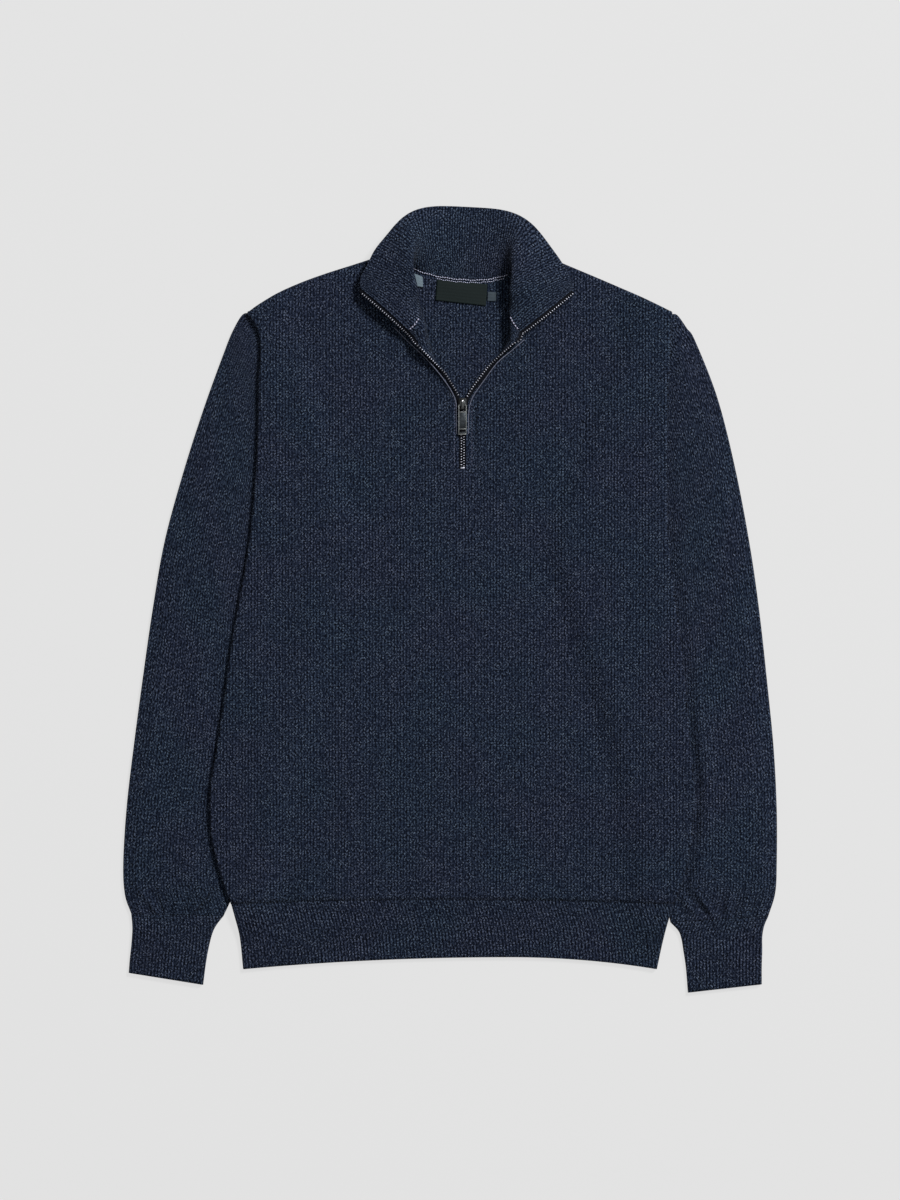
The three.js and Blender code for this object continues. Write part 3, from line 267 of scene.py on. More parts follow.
# Gathers where each sleeve meets its cuff: part of the width, its spread, length, height
# and lean
CUFF_GATHERS = {
    "left": table("part half length height lean", [
        (0.1, 0.035, 26, 1.6, 0.4), (0.17, 0.024, 22, -2.2, -0.3),
        (0.27, 0.035, 48, 2.6, 0.5), (0.34, 0.024, 34, -2.6, 0.3),
        (0.47, 0.035, 34, 2.2, -0.2), (0.55, 0.024, 30, -2.4, -0.3),
        (0.66, 0.04, 52, 2.8, -0.5), (0.73, 0.024, 44, -2.8, -0.5),
        (0.87, 0.03, 24, 1.8, 0.2),
    ]),
    "right": table("part half length height lean", [
        (0.1, 0.035, 30, 1.6, 0.3), (0.18, 0.024, 30, -2.2, 0.3),
        (0.27, 0.035, 36, 2.0, 0.2), (0.36, 0.024, 32, -2.6, 0.3),
        (0.43, 0.035, 34, 2.0, 0.1), (0.49, 0.024, 44, -2.6, 0.1),
        (0.575, 0.035, 44, 2.4, -0.6), (0.64, 0.034, 44, -3.2, -0.8),
        (0.74, 0.06, 50, 1.4, -0.7), (0.88, 0.03, 24, -1.4, -0.2),
    ]),
}
GATHER_FAN = (0.7, 0.9)
GATHER_SLOPES = (0.75, 1.5)
GATHER_AT_CUFF = 0.35
GATHER_RISE = 5

# Collar sections along the neck seam, from the left zip edge round to the right one: the
# place along the seam, a middle point on the roll and the top edge
COLLAR = table("part middleX middleY middleZ edgeX edgeY edgeZ", [
    (0, -65, 290.5, 21, -88.5, 310.5, 18),
    (0.05, -60, 301, 22, -90, 319, 17.5),
    (0.085, -55, 312, 23, -87, 325, 17),
    (0.115, -42, 312, 24, -83, 331.5, 16.5),
    (0.15, -35, 313, 25, -79, 338, 16.5),
    (0.19, -37.5, 323, 26.5, -76, 348, 16.5),
    (0.24, -38.5, 335, 27, -67.5, 357, 16),
    (0.29, -37, 350, 27, -60, 366, 15.5),
    (0.335, -35.5, 360, 23, -52, 377, 13.5),
    (0.375, -32, 362.5, 15.5, -39.5, 388, 10.5),
    (0.415, -22, 361, 8, -23, 393, 6.5),
    (0.46, -3, 357, 6, -2, 393, 4.5),
    (0.505, 13, 355.5, 5, 15, 392, 4),
    (0.56, 35, 355, 5.5, 38, 391, 4.5),
    (0.605, 51, 356, 8.5, 53, 389.5, 6.5),
    (0.645, 61, 357.5, 16, 68.5, 384.5, 10.5),
    (0.685, 61.5, 348.5, 23, 81, 376, 13.5),
    (0.735, 62.5, 338, 27, 91, 364, 15),
    (0.785, 63, 328, 27, 100, 351, 15.5),
    (0.835, 63, 317, 26, 107, 342, 15.5),
    (0.87, 64, 308, 25.5, 113, 333, 16),
    (0.905, 74, 305, 24, 117, 325, 16.5),
    (0.95, 88, 302, 21, 121, 317, 16.5),
    (1, 95, 287, 20, 121.5, 309, 17),
])
# The row of teeth along each open side, and the raised edge of the outer cloth beside it
ZIP_LINES = {
    "left": table("y x", [
        (196, 9.4), (206.4, 7.8), (224.6, -3), (240.4, -18.7), (258.6, -37),
        (269.4, -48.6), (284.8, -63.5), (296, -75.1), (312.1, -93.8),
    ]),
    "right": table("y x", [
        (196, 15.8), (208.1, 18.8), (223.8, 29.6), (234.6, 39.5), (247, 52.8),
        (265.3, 74.3), (276.9, 87.6), (292.6, 107.5), (307.6, 124.9),
    ]),
}
OUTER_EDGE = {
    "left": table("y x", [
        (166, 6.6), (190, 6.2), (197.3, 6.4), (208, 2), (223.8, -8.8), (242.9, -25.4),
        (258.6, -42), (272.7, -56),
    ]),
    "right": table("y x", [
        (166, 18.4), (190, 18.8), (198.1, 20.4), (206.4, 24.6), (221.3, 35.4),
        (237.9, 47.8), (248.7, 61), (260.3, 74.3),
    ]),
}
# The collar's and the neck seam's divisions and calming, and what the lapels hide of them
COLLAR_COLUMNS = 34
COLLAR_STEPS = 8
COLLAR_REACH = 0.12
CALMING = 2
NECK_TUCK = 3.4
NECK_TUCK_ENDS = (-52, 78)
NECK_TUCK_FADE = 12
HIDDEN_SEAM_INSET = 2
SEAM_PLACES = 1200
HIDDEN_STRETCHES = [(0.09, 0.35), (0.66, 0.93)]
HIDDEN_FADE = 0.04
HIDDEN_LIFT = 1.2
NECK_CENTRE = np.array([ZIP_X, 310])

LABELS = {
    "main": [(-13, 320.5), (37.6, 316), (36, 294.3), (-14.6, 300)],
    "size": [(38, 308.4), (46.2, 308), (46, 299), (37.6, 299.3)],
    "care": [(-38.5, 328), (-27.5, 323.5), (-27, 313), (-39.5, 315)],
}
LABEL_Z = 2.5
LABEL_BOW = 0.35
LABEL_WALL = 0.8


# Curves and surfaces

def smooth(value):
    t = np.clip(value, 0, 1)
    return t * t * (3 - 2 * t)


def curve(keys, values, at):
    """A smooth curve through values at rising keys, read at any places."""
    keys = np.asarray(keys, float)
    values = np.asarray(values, float)
    last = len(keys) - 1
    places = np.clip(np.asarray(at, float), keys[0], keys[-1])
    k = np.clip(np.searchsorted(keys, places) - 1, 0, last - 1)

    def spread(weights):
        return np.reshape(weights, np.shape(weights) + (1,) * (values.ndim - 1))

    def slope(a, b):
        return (values[b] - values[a]) / spread(keys[b] - keys[a])

    span = keys[k + 1] - keys[k]
    t = (places - keys[k]) / span
    start = slope(np.maximum(k - 1, 0), k + 1) * spread(span)
    end = slope(k, np.minimum(k + 2, last)) * spread(span)
    return (spread(2 * t ** 3 - 3 * t ** 2 + 1) * values[k]
            + spread(t ** 3 - 2 * t ** 2 + t) * start
            + spread(3 * t ** 2 - 2 * t ** 3) * values[k + 1]
            + spread(t ** 3 - t ** 2) * end)


def along(rows, places):
    """Rows read at fractional row numbers."""
    return curve(np.arange(len(rows)), rows, places)


def refined(grid, row_places, column_places):
    tall = along(grid, row_places)
    wide = along(np.swapaxes(tall, 0, 1), column_places)
    return np.swapaxes(wide, 0, 1)


def unit(vectors):
    return vectors / np.linalg.norm(vectors, axis=-1, keepdims=True)


def pairs(x, y):
    return np.stack([x, y], -1)


def path_lengths(points):
    steps = np.linalg.norm(np.diff(points, axis=0), axis=-1)
    return np.concatenate([np.zeros((1,) + steps.shape[1:]), np.cumsum(steps, axis=0)])


def read_rows(at, keys, rows):
    """Places in three dimensions, read in straight lines between rows at rising keys."""
    return np.stack([np.interp(at, keys, rows[:, k]) for k in range(3)], -1)


def relaxed(points, passes, free=None):
    """Rows of points, each drawn towards its neighbours where it is free. The ends stay."""
    rows = points.copy()
    moves = np.ones((len(rows) - 2, 1), bool) if free is None else free[1:-1, None]
    for _ in range(passes):
        mean = (rows[:-2] + rows[2:]) / 2
        rows[1:-1] = np.where(moves, (rows[1:-1] + mean) / 2, rows[1:-1])
    return rows


def surface_normals(points):
    down = np.gradient(points, axis=0)
    right = np.gradient(points, axis=1)
    normals = np.cross(right, down)
    return normals / np.maximum(np.linalg.norm(normals, axis=-1, keepdims=True), 1e-9)


def crease_height(creases, x, y):
    """Soft folds along straight lines, which fade at both ends."""
    height = np.zeros(np.shape(x))
    for x1, y1, x2, y2, width, tall in zip(*creases.values()):
        dx, dy = x2 - x1, y2 - y1
        part = np.clip(((x - x1) * dx + (y - y1) * dy) / (dx * dx + dy * dy), 0, 1)
        away = np.hypot(x - x1 - part * dx, y - y1 - part * dy) / width
        height += tall * np.exp(-away * away) * smooth(4 * part) * smooth(4 - 4 * part)
    return height


def body_base(x, y):
    """Height of the body's underside, on the table or on the sleeves."""
    total = np.zeros(np.shape(x))
    for side, sign in (("left", 1), ("right", -1)):
        edge = curve(HIDDEN_EDGES["y"], HIDDEN_EDGES[side], y)
        over = 1 - smooth((sign * (x - edge) - CLIMB_START) / CLIMB_WIDTH)
        foot_y, foot_length = CLIMB_FOOT[side]
        height = SLEEVE_CLEARANCE * over * smooth((y - foot_y) / foot_length)
        total = np.where(sign * (x - ZIP_X) < 0, height, total)
    return total


def shoulder_y(x):
    left = (x - SHOULDER_TIP["left"]) / (SHOULDER_NECK["left"] - SHOULDER_TIP["left"])
    right = (SHOULDER_TIP["right"] - x) / (SHOULDER_TIP["right"] - SHOULDER_NECK["right"])
    rise = np.minimum(np.where(x < SHOULDER_NECK["left"], left, right), 1)
    return SHOULDER_TIP["y"] + (SHOULDER_NECK["y"] - SHOULDER_TIP["y"]) * rise


def front_middle(x, y):
    """Height of the front cloth's middle where it lies flat."""
    left = curve(BODY_SIDES["y"], BODY_SIDES["left"], y)
    right = curve(BODY_SIDES["y"], BODY_SIDES["right"], y)
    inward = np.minimum(np.minimum(x - left, right - x), shoulder_y(x) - y)
    settle = SETTLE * smooth(inward / SETTLE_WIDTH)
    rest = BODY_DEPTH - PANEL_WALL / 2 + SEAM_GAP / 2 - settle
    return body_base(x, y) + rest + crease_height(FRONT_CREASES, x, y)


def hem_seam_y(x):
    return HEM_SEAM_Y - HEM_SEAM_DROP * (x / BODY_HALF) ** 2


def hem_edge_y(x):
    half = np.where(x < HEM_HIGH_X, HEM_HALF + HEM_HIGH_X, HEM_HALF - HEM_HIGH_X)
    return HEM_EDGE_Y - HEM_EDGE_DROP * ((x - HEM_HIGH_X) / half) ** 2


# Meshes, materials' coordinates and pieces

def grid_mesh(name, points, uv, kept=None):
    """A sheet through rows of points. uv is in metres, and kept marks the cells that exist."""
    rows, columns = points.shape[:2]
    bm = bmesh.new()
    bmesh.ops.create_grid(bm, x_segments=columns - 1, y_segments=rows - 1, size=1)
    number = bm.verts.layers.int.new("number")
    for vert in bm.verts:
        column = round((vert.co.x + 1) / 2 * (columns - 1))
        row = round((vert.co.y + 1) / 2 * (rows - 1))
        vert[number] = row * columns + column
    if kept is not None:
        def exists(face):
            middle = face.calc_center_median()
            row = int((middle.y + 1) / 2 * (rows - 1))
            return kept[row, int((middle.x + 1) / 2 * (columns - 1))]
        gone = [face for face in bm.faces if not exists(face)]
        bmesh.ops.delete(bm, geom=gone, context="FACES")
    mesh = mesh_from(bm, name)
    numbers = np.empty(len(mesh.vertices), np.int32)
    mesh.attributes["number"].data.foreach_get("value", numbers)
    place = points.reshape(-1, 3)[numbers] * MM
    mesh.vertices.foreach_set("co", place.ravel())
    corners = np.empty(len(mesh.loops), np.int32)
    mesh.loops.foreach_get("vertex_index", corners)
    layer = mesh.uv_layers.new(name="knit")
    flat = uv.reshape(-1, 2)[numbers][corners]
    layer.data.foreach_set("uv", flat.ravel())
    mesh.attributes.remove(mesh.attributes["number"])
    return mesh


def mesh_from(bm, name):
    mesh = bpy.data.meshes.new(name)
    bm.to_mesh(mesh)
    bm.free()
    return mesh


def closed_up(mesh, ends=False):
    """Merges the meeting edges of a tube, caps its ends if asked and faces it outward."""
    bm = bmesh.new()
    bm.from_mesh(mesh)
    bmesh.ops.remove_doubles(bm, verts=bm.verts, dist=1e-6)
    if ends:
        rim = [edge for edge in bm.edges if edge.is_boundary]
        bmesh.ops.holes_fill(bm, edges=rim, sides=0)
    bmesh.ops.recalc_face_normals(bm, faces=bm.faces)
    bm.to_mesh(mesh)
    bm.free()
    return mesh


def placed(name, data):
    made = bpy.data.objects.new(name, data)
    bpy.context.collection.objects.link(made)
    return made


def piece(name, mesh, material, body=GARMENT, replaces=()):
    mesh.name = name
    for face in mesh.polygons:
        face.use_smooth = True
    mesh.materials.clear()
    mesh.materials.append(material)
    made = placed(name, mesh)
    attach(made, body)
    if replaces:
        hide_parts(*replaces)
    return made


def walled(made, wall, offset):
    cloth = made.modifiers.new("cloth", "SOLIDIFY")
    cloth.thickness = wall * MM
    cloth.offset = offset
    cloth.use_even_offset = False
    return made


# Knit and other materials

class Nodes:
    """Short calls for one material's nodes."""

    def __init__(self, name, roughness):
        self.material = bpy.data.materials.new(name)
        self.material.use_nodes = True
        self.tree = self.material.node_tree
        self.shader = self.tree.nodes["Principled BSDF"]
        self.shader.inputs["Roughness"].default_value = roughness

    def add(self, kind, **settings):
        node = self.tree.nodes.new(kind)
        for key, value in settings.items():
            setattr(node, key, value)
        return node

    def feed(self, value, socket):
        if isinstance(value, bpy.types.NodeSocket):
            self.tree.links.new(value, socket)
        else:
            socket.default_value = value

    def math(self, operation, a, b=0.0, clamp=False):
        node = self.add("ShaderNodeMath", operation=operation, use_clamp=clamp)
        self.feed(a, node.inputs[0])
        self.feed(b, node.inputs[1])
        return node.outputs[0]

    def times(self, a, b):
        return self.math("MULTIPLY", a, b)

    def plus(self, *values):
        total = values[0]
        for value in values[1:]:
            total = self.math("ADD", total, value)
        return total

    def minus(self, a, b, clamp=False):
        return self.math("SUBTRACT", a, b, clamp)

    def tinted(self, a, b):
        node = self.add("ShaderNodeMix", data_type="RGBA", blend_type="MULTIPLY")
        self.feed(1.0, node.inputs[0])
        self.feed(a, node.inputs[6])
        self.feed(b, node.inputs[7])
        return node.outputs[2]

    def values(self, **inputs):
        """Values of the shader's own sockets, which stay unlinked."""
        for key, value in inputs.items():
            self.shader.inputs[key.replace("_", " ")].default_value = value

    def knit_places(self):
        return self.add("ShaderNodeUVMap", uv_map="knit").outputs["UV"]

    def object_places(self):
        return self.add("ShaderNodeTexCoord").outputs["Object"]

    def stretched(self, vector, scale):
        node = self.add("ShaderNodeMapping")
        self.feed(vector, node.inputs["Vector"])
        node.inputs["Scale"].default_value = scale
        return node.outputs[0]

    def noise(self, vector, scale, detail=2.0):
        node = self.add("ShaderNodeTexNoise")
        self.feed(vector, node.inputs["Vector"])
        node.inputs["Scale"].default_value = scale
        node.inputs["Detail"].default_value = detail
        return node.outputs["Fac"]

    def two_tones(self, factor, colour, dark, pale, low, high):
        """The base colour, darker and paler by turns."""
        stops = [(low, tuple(dark * c for c in colour)),
                 (high, tuple(min(pale * c, 1) for c in colour))]
        self.feed(self.ramp(factor, stops), self.shader.inputs["Base Color"])

    def ramp(self, factor, stops):
        node = self.add("ShaderNodeValToRGB")
        self.feed(factor, node.inputs["Fac"])
        elements = node.color_ramp.elements
        while len(elements) < len(stops):
            elements.new(0.5)
        for element, (position, colour) in zip(elements, stops):
            element.position = position
            element.color = (*colour, 1)
        return node.outputs["Color"]

    def bump(self, height, distance):
        node = self.add("ShaderNodeBump")
        node.inputs["Strength"].default_value = 1.0
        node.inputs["Distance"].default_value = distance * MM
        self.feed(height, node.inputs["Height"])
        self.feed(node.outputs["Normal"], self.shader.inputs["Normal"])


# The yarn's colours from its darkest to its palest fibres, and one fibre's grain
YARN_STOPS = [
    (0.0, (0.0002, 0.0008, 0.0032)),
    (0.25, (0.0048, 0.0085, 0.0199)),
    (0.5, (0.0189, 0.0279, 0.0513)),
    (0.9, (0.0907, 0.1196, 0.177)),
]
FIBRE_GRAIN = 1.25
SHADE_WARM = (1.07, 0.985, 1.0)
SHADE_COOL = (0.94, 1.015, 1.0)
MATT = 0.06

# A stitch's legs: place across the wale, narrowness and slant, and the yarn's wander
LEG_PLACE = 0.22
LEG_NARROWNESS = 4.2
LEG_SLANT = -1.3
WANDER = 0.5
# Noises: the yarn's wander, its fibres, its streaks and the cloth's broad shades
WANDER_SCALE = 260
FIBRE_SCALE = 1700
STREAK_SCALE = 330
STREAK_STRETCH = (0.12, 1, 1)
SHADE_SCALE = 12
# What makes up a yarn's tone, and how far its neighbours are taken off it. The stitch share is
# painted shade: paler on the stitches' legs, darker in the gaps between them
OWN_SHARE = 0.74
NEIGHBOUR_SHARE = 0.2
FIBRE_SHARE = 0.12
STREAK_SHARE = 0.08
STITCH_SHADE_SHARE = 0.2


def melange_knit(name, wale, course, rib_groove_shade, light=1.0):
    """Fine knit: two slanted legs for each stitch, spun from dark and pale fibres, with
    painted shade between legs and ribs.
    """
    n = Nodes(name, 0.92)
    n.values(Specular_IOR_Level=MATT, Sheen_Weight=0.02, Sheen_Roughness=0.6)
    uv = n.knit_places()
    split = n.add("ShaderNodeSeparateXYZ")
    n.feed(uv, split.inputs[0])
    wander = n.times(n.minus(n.noise(uv, WANDER_SCALE, 1.0), 0.5), WANDER)
    across = n.plus(n.times(split.outputs[0], 1 / (wale * MM)), wander)
    up = n.plus(n.times(split.outputs[1], 1 / (course * MM)), wander)
    in_wale = n.math("ABSOLUTE", n.minus(n.math("FRACT", across), 0.5))
    from_leg = n.times(n.minus(in_wale, LEG_PLACE), LEG_NARROWNESS)
    leg = n.minus(1.0, n.times(from_leg, from_leg), clamp=True)
    slanted = n.plus(up, n.times(in_wale, LEG_SLANT))
    in_course = n.times(n.minus(n.math("FRACT", slanted), 0.5), 2.0)
    loop = n.minus(1.0, n.times(in_course, in_course), clamp=True)
    stitch = n.times(n.math("POWER", leg, 0.7), n.math("POWER", loop, 0.5))
    strands = n.math("FLOOR", n.times(across, wale / FIBRE_GRAIN))
    lengths = n.math("FLOOR", n.times(slanted, course / FIBRE_GRAIN))

    def fibre_tone(right, above):
        cell = n.add("ShaderNodeCombineXYZ")
        n.feed(n.plus(strands, right), cell.inputs[0])
        n.feed(n.plus(lengths, above), cell.inputs[1])
        white = n.add("ShaderNodeTexWhiteNoise", noise_dimensions="2D")
        n.feed(cell.outputs[0], white.inputs["Vector"])
        return white.outputs["Value"]

    # Each length of yarn differs from its neighbours, so that no broad blotches form
    own = fibre_tone(0.0, 0.0)
    for right, above in ((1.0, 0.0), (-1.0, 0.0), (0.0, 1.0), (0.0, -1.0)):
        own = n.minus(own, n.times(fibre_tone(right, above), NEIGHBOUR_SHARE))
    fibre = n.noise(uv, FIBRE_SCALE)
    streak = n.noise(n.stretched(uv, STREAK_STRETCH), STREAK_SCALE, 1.0)
    tone = n.plus(n.times(own, OWN_SHARE), n.times(fibre, FIBRE_SHARE),
                  n.times(streak, STREAK_SHARE), n.times(stitch, STITCH_SHADE_SHARE))
    # Painted shade: the tone darkens at the wales' edges, as in the grooves between ribs
    rib_shade_wave = n.math("COSINE", n.times(across, 2 * math.pi))
    yarn = n.ramp(n.minus(tone, n.times(rib_shade_wave, rib_groove_shade)), YARN_STOPS)
    tint = n.ramp(n.noise(uv, SHADE_SCALE, 1.0), [(0.35, SHADE_COOL), (0.65, SHADE_WARM)])
    colour = n.tinted(n.tinted(yarn, tint), (light, light, light, 1))
    n.feed(colour, n.shader.inputs["Base Color"])
    n.bump(n.plus(stitch, n.times(fibre, 0.4)), 0.4)
    return n.material


def plain_yarn(name, colour):
    """Sewing thread and tape: a fine twist over one colour."""
    n = Nodes(name, 0.8)
    n.values(Specular_IOR_Level=MATT)
    twist = n.noise(n.object_places(), 2600, 3.0)
    n.two_tones(twist, colour, 0.55, 1.35, 0.3, 0.7)
    n.bump(twist, 0.12)
    return n.material


def satin(name, colour):
    """Woven satin label: fine horizontal floats with a soft gloss."""
    n = Nodes(name, 0.5)
    n.values(Specular_IOR_Level=0.08)
    uv = n.knit_places()
    wave = n.add("ShaderNodeTexWave", wave_type="BANDS", bands_direction="Y")
    n.feed(uv, wave.inputs["Vector"])
    wave.inputs["Scale"].default_value = 100
    wave.inputs["Distortion"].default_value = 1.5
    tone = n.plus(n.times(wave.outputs["Fac"], 0.15), n.times(n.noise(uv, 1800), 0.85))
    n.two_tones(tone, colour, 0.7, 1.3, 0.25, 0.75)
    n.bump(tone, 0.08)
    return n.material


def worn_metal(name, colour, roughness=0.36):
    """Satin nickel with fine brushing and brighter worn spots."""
    n = Nodes(name, roughness)
    n.values(Metallic=1.0)
    place = n.object_places()
    brushed = n.noise(n.stretched(place, (1, 0.15, 1)), 3500)
    n.two_tones(n.noise(place, 500), colour, 0.75, 1.25, 0.35, 0.65)
    rough = n.plus(n.times(brushed, 0.25), roughness - 0.12)
    n.feed(rough, n.shader.inputs["Roughness"])
    n.bump(brushed, 0.02)
    return n.material


# The third number is painted shade in the grooves between ribs, stronger for hem, cuffs and
# collar
JERSEY = melange_knit("navy_melange_jersey", WALE, COURSE, rib_groove_shade=0.105)
RIB_KNIT = melange_knit("navy_melange_rib", RIB_PITCH, COURSE, rib_groove_shade=0.16, light=0.97)
COLLAR_KNIT = melange_knit("navy_melange_collar_rib", COLLAR_RIB, 2.0, rib_groove_shade=0.19)
TAPE = plain_yarn("zip_tape_black", (0.004, 0.0045, 0.007))
PALE_THREAD = plain_yarn("linking_thread_lilac_grey", (0.42, 0.44, 0.57))
# Painted highlight: a pale strand for the lit fold of the outer cloth beside the zip
EDGE_HIGHLIGHT_STRAND = plain_yarn("zip_edge_highlight_cord", (0.13, 0.14, 0.19))
STITCH_THREAD = plain_yarn("topstitch_navy", (0.11, 0.12, 0.18))
BRIGHT_THREAD = plain_yarn("lapel_thread_pale", (0.4, 0.4, 0.52))
TEETH = worn_metal("zip_teeth_nickel", (0.3, 0.31, 0.36), 0.42)
NICKEL = worn_metal("bridge_dark_nickel", (0.1, 0.105, 0.105))
# Painted shade: the slider body is near black so that it reads as shade under the pull's
# window
SLIDER_SHADE_DARK = worn_metal("slider_painted_shade_dark", (0.018, 0.019, 0.02), 0.5)
RAIL_NICKEL = worn_metal("pull_rail_nickel", (0.17, 0.18, 0.18))
FACE_NICKEL = worn_metal("pull_face_dark_nickel", (0.034, 0.039, 0.044), 0.42)
# Painted shadow: a near black floor that stands for the shade inside the pull's slot
SLOT_PAINTED_SHADOW = worn_metal("slot_painted_shadow", (0.004, 0.004, 0.005), 0.6)
# Painted highlight: the knob's nickel is far paler than the bridge's, for its bright dot
KNOB_PAINTED_HIGHLIGHT = worn_metal("knob_painted_highlight_nickel", (0.55, 0.55, 0.57), 0.25)
GREEN_SATIN = satin("label_satin_grey_green", (0.0062, 0.0108, 0.0108))
GREY_SATIN = satin("size_tab_satin_grey", (0.037, 0.05, 0.062))
WHITE_SATIN = satin("care_label_satin_pale", (0.12, 0.16, 0.19))


# Front panel

def side_points(rows, side):
    """Places from the side of the body to the column below the neck point, one row each."""
    sign = 1 if side == "left" else -1
    edge = curve(BODY_SIDES["y"], BODY_SIDES[side], rows["side"]) + sign * BODY_DEPTH / 2
    start = pairs(edge, rows["side"])[:, None]
    end = pairs(rows["neckX"], rows["neckY"])[:, None]
    share = SIDE_SHARES[None, :, None]
    plan = start * (1 - share) + end * share
    risen = smooth((rows["side"] - SHOULDER_BULGE["startY"]) / SHOULDER_BULGE["length"])
    bow = SHOULDER_BULGE[side] * risen[:, None] * SIDE_SHARES * (1 - SIDE_SHARES) ** 2
    plan[..., 1] += bow
    return plan


def bezier(t, start, first, second, end):
    return ((1 - t) ** 3 * start + 3 * (1 - t) ** 2 * t * first
            + 3 * (1 - t) * t ** 2 * second + t ** 3 * end)


def half_front(rows, side):
    """Coarse rows of one half, side to zip edge: x, y and the lift above the flat front."""
    neck = pairs(rows["neckX"], rows["neckY"])[:, None]
    start = pairs(rows["startX"], rows["startY"])[:, None]
    share = NECK_SHARES[None, :, None]
    plan = np.concatenate([side_points(rows, side), neck * (1 - share) + start * share], 1)
    flat = np.concatenate([plan, np.zeros(plan.shape[:2] + (1,))], -1)

    def handle(x, y, lift):
        return np.stack([x, y, front_middle(x, y) + lift], -1)[:, None]

    lapel = bezier(
        (np.arange(1, LAPEL_STEPS + 1) / LAPEL_STEPS)[None, :, None],
        handle(rows["startX"], rows["startY"], 0),
        handle(rows["bendX"], rows["startY"], 0),
        handle(rows["topX"], rows["topY"], rows["topLift"]),
        handle(rows["edgeX"], rows["edgeY"], rows["edgeLift"]))
    lapel[..., 2] -= front_middle(lapel[..., 0], lapel[..., 1])
    return np.concatenate([flat, lapel], 1)


def with_hem_row(grid):
    """Adds the lowest row, along the hem seam between the hem's sides."""
    first = grid[0]
    left = HEM_SIDES["left"][0] + BODY_DEPTH / 2
    right = HEM_SIDES["right"][0] - BODY_DEPTH / 2
    share = (first[:, 0] - first[0, 0]) / (first[-1, 0] - first[0, 0])
    low = first.copy()
    low[:, 0] = left + (right - left) * share
    low[:, 1] = hem_seam_y(low[:, 0]) - HEM_OVERLAP
    return np.concatenate([low[None], grid])


def row_places():
    """Fractional rows of the front and back, closer where the lapels turn."""
    sides = np.concatenate([[HEM_SEAM_Y], FRONT_LEFT["side"]])
    heights = np.concatenate([
        np.linspace(HEM_SEAM_Y, LAPEL_ROWS_START, PLAIN_ROWS),
        np.linspace(LAPEL_ROWS_START, sides[-1], LAPEL_ROWS)[1:],
    ])
    slit_row = 1 + int(np.argmax(FRONT_LEFT["edgeY"] == ZIP_BOTTOM_Y))
    places = np.interp(heights, sides, np.arange(len(sides)))
    places[np.argmin(abs(places - slit_row))] = slit_row
    return places, slit_row


def stretches(*ends_and_counts):
    """Places in stretches that follow each other: each stretch's end and its number."""
    places = [np.zeros(1)]
    for end, count in ends_and_counts:
        places.append(np.linspace(places[-1][-1], end, count)[1:])
    return np.concatenate(places)


def half_places():
    side_end = len(SIDE_SHARES) - 1
    neck_end = side_end + len(NECK_SHARES)
    return stretches((side_end, SIDE_COLUMNS), (neck_end, NECK_COLUMNS),
                     (neck_end + LAPEL_STEPS, LAPEL_COLUMNS))


ROLL = np.radians([90, 72, 54, 36, 18])


def with_round_edges(grid, turn):
    """Curls a panel's sides, and its shoulders' top rows, round to the other panel."""
    top, below = grid[-1], grid[-2]
    outward = unit(top[:, :2] - below[:, :2])
    rows = list(grid)
    ups = [0] * len(rows) + list(ROLL[::-1])
    for angle in ROLL[::-1]:
        row = top.copy()
        row[:, :2] += outward * ROLL_RADIUS * math.sin(angle)
        rows.append(row)
    made = []
    for row, up in zip(rows, ups):
        flat = row.copy()
        flat[:, 2] += turn * ROLL_RADIUS * (1 - math.cos(up))
        ends = []
        for k, sign in ((0, -1), (-1, 1)):
            end = np.repeat(row[k][None], len(ROLL), 0)
            reach = 1 / np.maximum(1, np.hypot(np.sin(ROLL), math.sin(up)))[:, None]
            end[:, :2] -= (1 - reach) * outward[k] * ROLL_RADIUS * math.sin(up)
            end[:, 0] += sign * ROLL_RADIUS * np.sin(ROLL) * reach[:, 0]
            end[:, 2] += turn * ROLL_RADIUS * (1 - math.cos(up) * np.cos(ROLL))
            ends.append(end)
        made.append(np.concatenate([ends[0], flat, ends[1][::-1]]))
    return np.array(made)


def panel_uv(points, lapel_columns):
    """Knit coordinates in metres: straight wales, carried round the lapels by length."""
    u = points[..., 0].copy()
    for columns in lapel_columns:
        line = points[:, columns]
        steps = np.linalg.norm(np.diff(line, axis=1), axis=-1)
        sign = np.sign(line[0, -1, 0] - line[0, 0, 0])
        u[:, columns[1:]] = line[:, :1, 0] + sign * np.cumsum(steps, axis=1)
    return pairs(u, points[..., 1]) * MM


def front_shape():
    rows, slit_row = row_places()
    columns = half_places()
    left = half_front(FRONT_LEFT, "left")
    right = half_front(FRONT_RIGHT, "right")
    coarse = with_hem_row(np.concatenate([left, right[:, ::-1]], 1))
    half = left.shape[1]
    dense_left = refined(coarse[:, :half], rows, columns)
    dense_right = refined(coarse[:, half:][:, ::-1], rows, columns)[:, ::-1]
    dense = np.concatenate([dense_left, dense_right], 1)
    x, y = dense[..., 0], dense[..., 1]
    dense[..., 2] += front_middle(x, y)
    dense[..., 2] += hem_pucker(x, y - hem_seam_y(x))
    return dense, np.searchsorted(rows, slit_row), len(columns)


def hem_pucker(x, away):
    """Faint ripples of the cloth by the hem seam, and the seam's own dip."""
    ripple = np.sin(x / 4.1) * np.sin(x / 13 + 1) + 0.6 * np.sin(x / 7.7 + 2)
    return (PUCKER_HEIGHT * ripple * np.exp(-np.abs(away) / PUCKER_REACH)
            - SEAM_DIP * np.exp(-(away / SEAM_DIP_WIDTH) ** 2))


def open_shoulders(kept, columns):
    """Leaves out the rounded top rows between the two shoulders."""
    inner = len(ROLL) + columns - 1
    kept[-len(ROLL):, inner:-inner] = False


